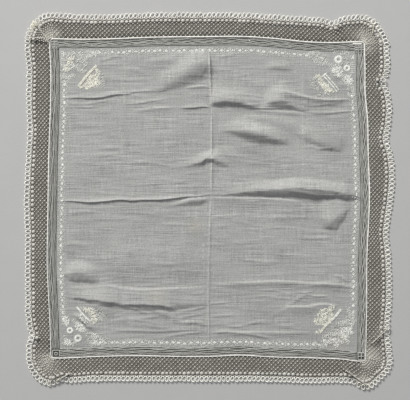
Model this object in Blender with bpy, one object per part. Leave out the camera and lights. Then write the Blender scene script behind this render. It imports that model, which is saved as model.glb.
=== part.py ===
"""A square lace handkerchief lying flat, with the creases of its old folds.

Three pieces of cloth, each one closed solid: the linen centre with its rolled hem, the strip
of net lace round it, and the looped ring edging round the net. Metres, +Z up. The origin is
under the middle of the handkerchief and its flat parts lie on z = 0.
"""
import math
from collections import namedtuple

import bmesh
import bpy
import numpy as np
from mathutils import Matrix, Vector
from mathutils.geometry import delaunay_2d_cdt

MM = 0.001

# Driving sizes, in millimetres.
HALF_SIDE = 158.0        # nominal half side of the hemmed linen
HEM_CORNER = 4.0         # radius of the hem at each corner
SHEET = 1.0              # thickness of linen and net
HEM_ROLL = 1.6           # height of the rolled hem
HEM_WIDTH = 1.8          # width of the rolled hem
HEM_SLOPE = 2.8          # where the hem has come down to the linen
RING_DEPTH = 5.9         # depth of the ring edging
RING_SCALLOP = 1.3       # how far the notches between ring tips go in
RING_THICK = 1.3         # thickness of the ring edging
RING_LEAN = 0.62         # place of a ring's tip in its own pitch
RING_COUNT = 324         # rings all round
SEW_GAP = 0.3            # gap that keeps neighbouring pieces apart
FOLD_STEP = 6.0          # spacing of the linen's points along a fold
FOLD_ENDS = 3.5          # a fold grows and dies away in one part in this many of its run
FOLD_TIP = 0.4           # share of a fold's half width that is left at its two ends
PLAIN_STEP = 17.0        # spacing of the linen's points where it lies flat
POINT_ROOM = 2.2         # least distance between points of the linen
SHARP_EDGE = math.radians(35)
SIDE_RUN = 310.0         # length of lace along a side, between the corner fans
CORNER_RUN = 0.5 * math.pi * (HEM_CORNER + 25.0)
BOX_SHIFT = (-0.75, 0.2)  # brings the middle of the whole handkerchief over the origin
LAP_START = 6.0          # degrees into the first corner where the lace starts
LAP_TURN = 47.0          # degrees into it where the lace ends, under its start
LAP_RISE = SHEET + 0.4   # how high the upper layer of the lap lies
LAP_RAMP = 10.0          # length over which it comes down
PLEAT_RISE = 1.1         # height of the gathers in the corners
PLEATS = 5               # gathers in each corner

# Each side of the handkerchief, clockwise from the top one. "along" is the distance
# clockwise from the middle of the side, "hem" how far out of the middle of the cloth the
# hem lies, and "lace" the width of the lace beyond it, to the ring tips.
Edge = namedtuple("Edge", "along hem lace")
TOP = [
    Edge(-154, 162.1, 26.0),
    Edge(-132, 161.6, 25.2),
    Edge(-111, 161.7, 24.6),
    Edge(-54, 163.6, 24.6),
    Edge(-4, 164.2, 24.2),
    Edge(41, 164.2, 23.5),
    Edge(66, 162.5, 23.5),
    Edge(106, 158.7, 25.0),
    Edge(119, 158.3, 24.5),
    Edge(129, 158.4, 21.4),
    Edge(139, 158.7, 25.8),
    Edge(151, 159.2, 26.8),
]
RIGHT = [
    Edge(-154, 156.3, 24.4),
    Edge(-128, 156.7, 22.9),
    Edge(-121, 156.7, 19.9),
    Edge(-113, 156.7, 23.3),
    Edge(-76, 159.5, 22.3),
    Edge(-64, 159.7, 20.0),
    Edge(-49, 159.9, 24.0),
    Edge(0, 161.2, 23.1),
    Edge(20, 160.3, 20.9),
    Edge(32, 159.7, 20.3),
    Edge(50, 158.8, 23.0),
    Edge(104, 158.4, 24.5),
    Edge(130, 157.9, 23.0),
    Edge(153, 157.4, 25.7),
]
BOTTOM = [
    Edge(-151, 160.8, 23.9),
    Edge(-135, 159.0, 23.7),
    Edge(-111, 157.9, 24.9),
    Edge(-61, 156.5, 24.9),
    Edge(-31, 154.9, 26.1),
    Edge(-6, 156.0, 25.0),
    Edge(93, 155.7, 25.1),
    Edge(120, 156.6, 24.3),
    Edge(141, 157.7, 24.8),
    Edge(150, 157.9, 23.6),
]
LEFT = [
    Edge(-150, 158.2, 24.3),
    Edge(-137, 158.6, 21.0),
    Edge(-130, 158.8, 22.6),
    Edge(-95, 160.5, 22.8),
    Edge(-69, 161.7, 22.1),
    Edge(-39, 161.6, 21.9),
    Edge(-9, 161.0, 23.6),
    Edge(44, 160.1, 22.8),
    Edge(67, 159.3, 22.0),
    Edge(94, 158.4, 24.2),
    Edge(130, 158.2, 24.0),
    Edge(154, 159.4, 24.8),
]
SIDES = [TOP, RIGHT, BOTTOM, LEFT]

# Lace width round each corner, clockwise, at a turn in degrees from the side before it.
Turn = namedtuple("Turn", "degrees lace")
TOP_LEFT = [Turn(0, 24.6), Turn(45, 25.0), Turn(90, 26.4)]
TOP_RIGHT = [Turn(0, 27.2), Turn(22, 26.0), Turn(52, 23.4), Turn(90, 24.4)]
BOTTOM_RIGHT = [Turn(0, 26.2), Turn(29, 26.4), Turn(48, 25.4), Turn(75, 28.2), Turn(90, 28.0)]
BOTTOM_LEFT = [Turn(0, 27.0), Turn(25, 27.6), Turn(45, 26.2), Turn(90, 24.4)]
CORNERS = [TOP_LEFT, TOP_RIGHT, BOTTOM_RIGHT, BOTTOM_LEFT]

# Folds and creases, as soft ridges. Each runs from (x1, y1) to (x2, y2), its middle moved
# aside by "bow" (to the left of that direction), "rise" high and "reach" wide to each side.
Fold = namedtuple("Fold", "x1 y1 x2 y2 bow rise reach")
LINEN_FOLDS = [
    Fold(2, 150, 1, 8, 0.0, 1.7, 5.0),             # upper half of the upright crease
    Fold(1, 0, 0, -141, -0.6, 1.4, 5.0),           # lower half of the upright crease
    Fold(-155, -2, 0, 4, -1.5, 2.6, 5.0),          # left half of the level crease
    Fold(6, 13, 148, 9, 3.0, 2.8, 7.0),            # swell above its right half
    Fold(8, 2, 146, -2, 3.0, 1.8, 4.5),            # ridge below its right half
    Fold(-5, 1, -42, -10, 1.0, 1.3, 5.5),
    Fold(-60, 37, -20, 34, -1.0, 1.5, 6.0),
    Fold(-20, 34, 18, 33, 4.5, 1.7, 6.0),
    Fold(-130, 103, -75, 107, -1.5, 2.1, 4.5),
    Fold(-6, 132, -52, 109, 0.0, 1.5, 8.0),
    Fold(-36, 111, -4, 115, 0.0, 1.1, 5.0),
    Fold(4, 98, 149, 92, 2.0, 3.4, 7.5),           # the big fold of the upper right
    Fold(61, 114, 139, 103, -2.5, 1.8, 4.5),
    Fold(26, 68, 66, 54, 1.0, 2.0, 8.0),
    Fold(104, 54, 128, 51, 0.0, 1.5, 7.0),
    Fold(58, 131, 86, 130, 0.0, 1.3, 8.0),
    Fold(138, -9, 126, -29, 1.5, 2.8, 6.0),        # the tuck near the right border
    Fold(-141, -74, -112, -81, 0.0, 1.5, 5.5),
    Fold(-138, -86, -4, -84, -4.0, 1.7, 5.0),
    Fold(4, -83, 144, -84, 3.5, 1.6, 5.0),
    Fold(-133, -100, -52, -107, -1.0, 2.3, 5.5),
    Fold(-52, -108, -2, -104, -6.0, 1.9, 5.5),
    Fold(-91, -132, -5, -132, 0.0, 1.0, 4.5),
    Fold(60, -121, 80, -107, 1.0, 1.6, 5.0),
    Fold(80, -107, 127, -103, 0.0, 1.8, 5.0),
    Fold(90, -98, 114, -84, 0.0, 1.4, 5.5),
    Fold(-136, -116, -120, -129, 0.0, 1.3, 6.0),
]
LACE_FOLDS = [
    Fold(-161, -182, -139, -171, 1.0, 2.0, 4.5),
    Fold(130, -163, 158, -187, -1.0, 2.2, 5.0),
    Fold(160, -144, 184, -121, 1.0, 2.0, 4.5),
    Fold(129, 184, 128, 166, 0.0, 1.8, 5.0),
    Fold(182, 121, 166, 121, 0.0, 1.6, 5.0),
    Fold(-186, -138, -168, -136, 0.0, 1.6, 5.0),
]


def smooth(stations, values, at):
    """Read a smooth curve through a table, held level beyond its two ends."""
    stations = np.asarray(stations, float)
    values = np.asarray(values, float)
    at = np.clip(at, stations[0], stations[-1])
    slopes = np.gradient(values, stations)
    slopes[0] = slopes[-1] = 0.0
    span = np.clip(np.searchsorted(stations, at, side="right") - 1, 0, len(stations) - 2)
    width = stations[span + 1] - stations[span]
    t = (at - stations[span]) / width
    return (
        (2 * t**3 - 3 * t**2 + 1) * values[span]
        + (t**3 - 2 * t**2 + t) * width * slopes[span]
        + (3 * t**2 - 2 * t**3) * values[span + 1]
        + (t**3 - t**2) * width * slopes[span + 1]
    )


def hem(side, along):
    """Distance from the middle of the cloth to the hem of one side."""
    rows = SIDES[side]
    return smooth([row.along for row in rows], [row.hem for row in rows], along)


def cloth_point(a, b):
    """Place on the linen, for a and b from -1 to 1 across it and up it."""
    x0 = a * HALF_SIDE
    y0 = b * HALF_SIDE
    right = hem(1, -y0)
    left = -hem(3, y0)
    top = hem(0, x0)
    bottom = -hem(2, -x0)
    x = left + (right - left) * (a + 1) / 2
    y = bottom + (top - bottom) * (b + 1) / 2
    return np.array([float(x), float(y)])


def lace_table():
    """Stations and widths of the lace, once round, with a row beyond each end."""
    rows = []
    for k in range(4):
        start = k * (CORNER_RUN + SIDE_RUN)
        for row in CORNERS[k]:
            rows.append((start + row.degrees / 90 * CORNER_RUN, row.lace))
        for row in SIDES[k]:
            share = (row.along + HALF_SIDE) / (2 * HALF_SIDE)
            rows.append((start + CORNER_RUN + share * SIDE_RUN, row.lace))
    first, last = rows[0], rows[-1]
    rows.insert(0, (last[0] - ROUND, last[1]))
    rows.append((first[0] + ROUND, first[1]))
    return [row[0] for row in rows], [row[1] for row in rows]


ROUND = 4 * (CORNER_RUN + SIDE_RUN)
LACE_AT, LACE_WIDTH = lace_table()


def lace_width(travel):
    """Width of the lace from hem to ring tips at a distance round it."""
    return float(smooth(LACE_AT, LACE_WIDTH, travel % ROUND))


def spoke(travel):
    """Foot on the hem and outward direction, at a distance clockwise round the lace."""
    travel = travel % ROUND
    k = int(travel // (CORNER_RUN + SIDE_RUN))
    rest = travel - k * (CORNER_RUN + SIDE_RUN)
    if rest < CORNER_RUN:
        angle = math.pi * (1 - k / 2) - rest / CORNER_RUN * math.pi / 2
        out = np.array([math.cos(angle), math.sin(angle)])
        sign = [(-1, 1), (1, 1), (1, -1), (-1, -1)][k]
        centre = cloth_point(*sign) - HEM_CORNER * np.array(sign)
        return centre + HEM_CORNER * out, out
    angle = math.pi * (0.5 - k / 2)
    out = np.array([math.cos(angle), math.sin(angle)])
    edge = 1 - HEM_CORNER / HALF_SIDE
    t = edge * (2 * (rest - CORNER_RUN) / SIDE_RUN - 1)
    place = [(t, 1), (1, -t), (-t, -1), (-1, t)][k]
    return cloth_point(*place), out


def fold_fade(t):
    """How a fold grows from nothing at its start (t = 0) and dies away at its end (t = 1)."""
    return math.sin(min(1.0, FOLD_ENDS * t, FOLD_ENDS * (1 - t)) * math.pi / 2)


def fold_reach(fold, t):
    """Half width of a fold along its run."""
    return fold.reach * (FOLD_TIP + (1 - FOLD_TIP) * fold_fade(t))


def fold_lift(fold, x, y):
    """Height that one fold gives to a place."""
    run = np.array([fold.x2 - fold.x1, fold.y2 - fold.y1], float)
    length = np.hypot(*run)
    run /= length
    dx = x - fold.x1
    dy = y - fold.y1
    t = (dx * run[0] + dy * run[1]) / length
    aside = (dy * run[0] - dx * run[1]) - 4 * fold.bow * t * (1 - t)
    if t <= 0 or t >= 1:
        return 0.0
    across = abs(aside) / fold_reach(fold, t)
    if across >= 1:
        return 0.0
    return fold.rise * fold_fade(t) * (1 - across**2) ** 2


def lift(x, y):
    """Height of the underside above the ground at a place."""
    return max(fold_lift(fold, x, y) for fold in LINEN_FOLDS + LACE_FOLDS)


def pleat_lift(travel, share):
    """Height of the corner gathers, share 0 at the hem and 1 at the rings."""
    rest = travel % (CORNER_RUN + SIDE_RUN)
    if rest >= CORNER_RUN or travel % ROUND < CORNER_RUN:
        return 0.0
    wave = math.sin(PLEATS * math.pi * rest / CORNER_RUN) ** 2
    return PLEAT_RISE * wave * math.sin(math.pi * (0.2 + 0.6 * share))


def lap_lift(travel):
    """Extra height of the lace where its start lies over its end."""
    lap = LAP_TURN / 90 * CORNER_RUN
    if travel > lap + LAP_RAMP:
        return 0.0
    down = max(0.0, (travel - lap) / LAP_RAMP)
    return LAP_RISE * (0.5 + 0.5 * math.cos(math.pi * down))


def cloth_material(name, colour, roughness):
    """A plain cloth finish for one piece."""
    material = bpy.data.materials.new(name)
    material.use_nodes = True
    shader = material.node_tree.nodes["Principled BSDF"]
    shader.inputs["Base Color"].default_value = (*colour, 1.0)
    shader.inputs["Roughness"].default_value = roughness
    shader.inputs["Metallic"].default_value = 0.0
    return material


def add_piece(name, shape, material):
    """Make one object from a filled bmesh."""
    mesh = bpy.data.meshes.new(name)
    shape.normal_update()
    shape.to_mesh(mesh)
    shape.free()
    mesh.transform(Matrix.Translation((BOX_SHIFT[0] * MM, BOX_SHIFT[1] * MM, 0.0)))
    mesh.materials.append(material)
    mesh.shade_smooth()
    mesh.set_sharp_from_angle(angle=SHARP_EDGE)
    piece = bpy.data.objects.new(name, mesh)
    bpy.context.scene.collection.objects.link(piece)
    return piece


def hem_row(depth):
    """Points round the hem, clockwise and closer in the corners, moved in by a depth."""
    side_steps = 38
    corner_steps = 4
    points = []
    for k in range(4):
        start = k * (CORNER_RUN + SIDE_RUN)
        turns = [i / corner_steps * CORNER_RUN for i in range(corner_steps)]
        turns += [CORNER_RUN + i / side_steps * SIDE_RUN for i in range(side_steps)]
        for turn in turns:
            foot, out = spoke(start + turn)
            points.append(foot - depth * out)
    return points


def fold_points(fold):
    """Places on the crest, flanks and feet of a fold."""
    start = np.array([fold.x1, fold.y1], float)
    end = np.array([fold.x2, fold.y2], float)
    length = np.hypot(*(end - start))
    run = (end - start) / length
    left = np.array([-run[1], run[0]])
    steps = max(4, round(length / FOLD_STEP))
    places = []
    for i in range(steps + 1):
        t = i / steps
        crest = start + (end - start) * t + left * 4 * fold.bow * t * (1 - t)
        for share in (0.0, -1.0, 1.0, -0.5, 0.5):
            places.append(crest + left * share * fold_reach(fold, t))
    return places


def linen_places():
    """Every place where the linen's surface needs a point, the hem's rows first."""
    rows = [hem_row(0.0), hem_row(HEM_WIDTH), hem_row(HEM_SLOPE)]
    kept = [point for row in rows for point in row]
    folded = [place for fold in LINEN_FOLDS for place in fold_points(fold)]
    count = int(HALF_SIDE // PLAIN_STEP)
    plain = []
    for i in range(-count, count + 1):
        for j in range(-count, count + 1):
            plain.append(np.array([(i + 0.5 * (j % 2)) * PLAIN_STEP, j * PLAIN_STEP]))
    inside = np.array([HALF_SIDE - 5.0, HALF_SIDE - 6.4])
    for places, room in ((folded, POINT_ROOM), (plain, 3 * POINT_ROOM)):
        for place in places:
            apart = np.min(np.hypot(*(np.array(kept) - place).T))
            if apart > room and np.all(np.abs(place) < inside):
                kept.append(place)
    return kept


def linen_centre():
    """The linen with its rolled hem: one sheet in its lying shape."""
    ring = len(hem_row(0.0))
    places = linen_places()
    flat = [Vector((float(p[0]), float(p[1]))) for p in places]
    loop = [(i, (i + 1) % ring) for i in range(ring)]
    verts, _, faces, *_ = delaunay_2d_cdt(flat, loop, [], 1, 1e-5)
    shape = bmesh.new()
    under = []
    over = []
    for i, place in enumerate(verts):
        height = lift(place.x, place.y)
        thick = HEM_ROLL if i < 2 * ring else SHEET
        under.append(shape.verts.new((place.x * MM, place.y * MM, height * MM)))
        over.append(shape.verts.new((place.x * MM, place.y * MM, (height + thick) * MM)))
    for face in faces:
        a, b, c = face
        turn = (verts[b] - verts[a]).cross(verts[c] - verts[a])
        if turn < 0:
            b, c = c, b
        shape.faces.new((over[a], over[b], over[c]))
        shape.faces.new((under[c], under[b], under[a]))
    for i, j in loop:
        shape.faces.new((over[i], over[j], under[j], under[i]))
    finish = cloth_material("linen_cloth", (0.376, 0.386, 0.366), 0.9)
    return add_piece("linen_centre", shape, finish)


def strip_solid(name, sections, finish):
    """A closed strip through a list of sections, each a ring of points."""
    shape = bmesh.new()
    rings = []
    for section in sections:
        rings.append([shape.verts.new([value * MM for value in point]) for point in section])
    size = len(rings[0])
    for before, after in zip(rings, rings[1:]):
        for i in range(size):
            j = (i + 1) % size
            shape.faces.new((before[i], before[j], after[j], after[i]))
    shape.faces.new(rings[0][::-1])
    shape.faces.new(rings[-1])
    return add_piece(name, shape, finish)


def strip_section(travel, offsets, thick, lapped):
    """Ring of points across a strip: its underside outwards, then its top inwards."""
    foot, out = spoke(travel)
    low = []
    high = []
    for offset in offsets:
        x, y = foot + out * offset
        z = lift(x, y) + pleat_lift(travel, offset / lace_width(travel))
        if lapped:
            z += lap_lift(travel)
        low.append((x, y, z))
        high.append((x, y, z + thick))
    return low + high[::-1]


def net_stations():
    """Stations along the net: closer in the corners, by folds and where its width changes."""
    step = CORNER_RUN / (4 * PLEATS)
    corner_every = 2
    side_every = 6
    bend = 0.04
    start = LAP_START / 90 * CORNER_RUN
    lap_steps = round((LAP_TURN - LAP_START) / 90 * 4 * PLEATS)
    steps = round(ROUND / step)
    stations = []
    for i in range(steps + lap_steps + 1):
        travel = start + i * ROUND / steps
        rest = travel % (CORNER_RUN + SIDE_RUN)
        foot, out = spoke(travel)
        around = [lace_width(travel + way * step) for way in (-2, -1, 1, 2)]
        offsets = [share * lace_width(travel) for share in (0.2, 0.4, 0.6)]
        folded = any(lift(*(foot + out * offset)) > 0 for offset in offsets)
        in_corner = not CORNER_RUN + step < rest < CORNER_RUN + SIDE_RUN - step
        if (
            i % side_every == 0
            or (i % corner_every == 0 and (in_corner or folded))
            or abs(sum(around) / len(around) - lace_width(travel)) > bend
            or i == steps + lap_steps
        ):
            stations.append(travel)
    return stations


def net_border():
    """The net lace: one strip, sewn to the hem, its start lapped over its end."""
    sections = []
    for travel in net_stations():
        depth = lace_width(travel) - RING_DEPTH - SEW_GAP
        offsets = (SEW_GAP, 0.5 * depth, depth)
        sections.append(strip_section(travel, offsets, SHEET, travel < ROUND / 2))
    finish = cloth_material("net_lace", (0.35, 0.34, 0.31), 0.9)
    return strip_solid("net_border", sections, finish)


def ring_edging():
    """The ring edging: one strip with a tip for every ring."""
    pitch = (ROUND - SEW_GAP) / RING_COUNT
    sections = []
    for i in range(RING_COUNT):
        for share, notch in ((0.0, RING_SCALLOP), (RING_LEAN, 0.0)):
            travel = LAP_START / 90 * CORNER_RUN + (i + share) * pitch
            tip = lace_width(travel)
            offsets = (tip - RING_DEPTH, tip - notch)
            sections.append(strip_section(travel, offsets, RING_THICK, True))
    finish = cloth_material("ring_thread", (0.753, 0.745, 0.672), 0.85)
    return strip_solid("ring_edging", sections, finish)


for old in list(bpy.data.objects):
    bpy.data.objects.remove(old, do_unlink=True)
linen_centre()
net_border()
ring_edging()
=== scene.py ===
"""Looks of the lace handkerchief: sheer linen, stitching, net lace and looped edging.

Lengths below are millimetres and places are measured from the middle of the cloth, +X to the
right and +Y up in the picture, until to_metres() brings them into the frame.
"""
import math
from collections import namedtuple

import bpy
import numpy as np
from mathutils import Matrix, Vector


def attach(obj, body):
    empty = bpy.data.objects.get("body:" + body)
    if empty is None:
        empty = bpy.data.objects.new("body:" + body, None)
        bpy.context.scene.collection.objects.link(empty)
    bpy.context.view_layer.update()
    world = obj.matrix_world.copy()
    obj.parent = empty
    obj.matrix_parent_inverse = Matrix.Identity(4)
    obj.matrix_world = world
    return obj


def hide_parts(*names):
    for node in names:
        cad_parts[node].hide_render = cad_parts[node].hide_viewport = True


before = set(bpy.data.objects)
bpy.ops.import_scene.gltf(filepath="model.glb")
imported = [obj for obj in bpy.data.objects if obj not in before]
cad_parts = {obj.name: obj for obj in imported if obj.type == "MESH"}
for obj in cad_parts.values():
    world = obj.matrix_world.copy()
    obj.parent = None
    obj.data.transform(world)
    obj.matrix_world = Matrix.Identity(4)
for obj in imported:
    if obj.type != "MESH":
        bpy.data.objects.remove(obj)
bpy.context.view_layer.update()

MM = 0.001
BOX_SHIFT = np.array([-0.75, 0.2])

# The cloth's outline, as in the solids.
HALF_SIDE = 158.0
HEM_CORNER = 4.0
SIDE_RUN = 310.0
CORNER_RUN = 0.5 * math.pi * (HEM_CORNER + 25.0)
LEG = CORNER_RUN + SIDE_RUN           # one corner of the lace and the side after it
ROUND = 4 * LEG
REPEATS = 324            # repeats of the lace all round: rings, dots and net columns
PITCH = ROUND / REPEATS
LAP_START = 6.0          # degrees round the top left corner, as is the next
LAP_TURN = 47.0          # how far round the start of the lace lies over its end
LAP_RISE = 1.4
LAP_RAMP = 10.0
PLEAT_RISE = 0.45
PLEATS = 5               # gathers at each corner
FOLD_ENDS = 3.5          # how fast a fold grows from its two ends
FOLD_TIP = 0.4           # share of its width that it has at its very ends


def rows_of(kind, *rows):
    """The rows of a table with its columns named."""
    return [kind(*row) for row in rows]


# Each side clockwise: places along it, the hem's distance from the middle of the cloth, and
# the width of the lace there, from hem to ring tips.
Edge = namedtuple("Edge", "along hem lace")
TOP = rows_of(Edge,
    (-154, 162.1, 26.0), (-132, 161.6, 25.2), (-111, 161.7, 24.6), (-54, 163.6, 24.6),
    (-4, 164.2, 24.2), (41, 164.2, 23.5), (66, 162.5, 23.5), (106, 158.7, 25.0),
    (119, 158.3, 24.5), (129, 158.4, 21.4), (139, 158.7, 25.8), (151, 159.2, 26.8))
RIGHT = rows_of(Edge,
    (-154, 156.3, 24.4), (-128, 156.7, 22.9), (-121, 156.7, 19.9), (-113, 156.7, 23.3),
    (-76, 159.5, 22.3), (-64, 159.7, 20.0), (-49, 159.9, 24.0), (0, 161.2, 23.1),
    (20, 160.3, 20.9), (32, 159.7, 20.3), (50, 158.8, 23.0), (104, 158.4, 24.5),
    (130, 157.9, 23.0), (153, 157.4, 25.7))
BOTTOM = rows_of(Edge,
    (-151, 160.8, 23.9), (-135, 159.0, 23.7), (-111, 157.9, 24.9), (-61, 156.5, 24.9),
    (-31, 154.9, 26.1), (-6, 156.0, 25.0), (93, 155.7, 25.1), (120, 156.6, 24.3),
    (141, 157.7, 24.8), (150, 157.9, 23.6))
LEFT = rows_of(Edge,
    (-150, 158.2, 24.3), (-137, 158.6, 21.0), (-130, 158.8, 22.6), (-95, 160.5, 22.8),
    (-69, 161.7, 22.1), (-39, 161.6, 21.9), (-9, 161.0, 23.6), (44, 160.1, 22.8),
    (67, 159.3, 22.0), (94, 158.4, 24.2), (130, 158.2, 24.0), (154, 159.4, 24.8))
SIDES = [TOP, RIGHT, BOTTOM, LEFT]
# The same lace round each corner, at degrees of its turn.
Turn = namedtuple("Turn", "degrees lace")
TOP_LEFT = rows_of(Turn,
    (0, 24.6), (45, 25.0), (90, 26.4))
TOP_RIGHT = rows_of(Turn,
    (0, 27.2), (22, 26.0), (52, 23.4), (90, 24.4))
BOTTOM_RIGHT = rows_of(Turn,
    (0, 26.2), (29, 26.4), (48, 25.4), (75, 28.2), (90, 28.0))
BOTTOM_LEFT = rows_of(Turn,
    (0, 27.0), (25, 27.6), (45, 26.2), (90, 24.4))
CORNERS = [TOP_LEFT, TOP_RIGHT, BOTTOM_RIGHT, BOTTOM_LEFT]
CORNER_SIGNS = np.array([(-1, 1), (1, 1), (1, -1), (-1, -1)])

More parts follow.
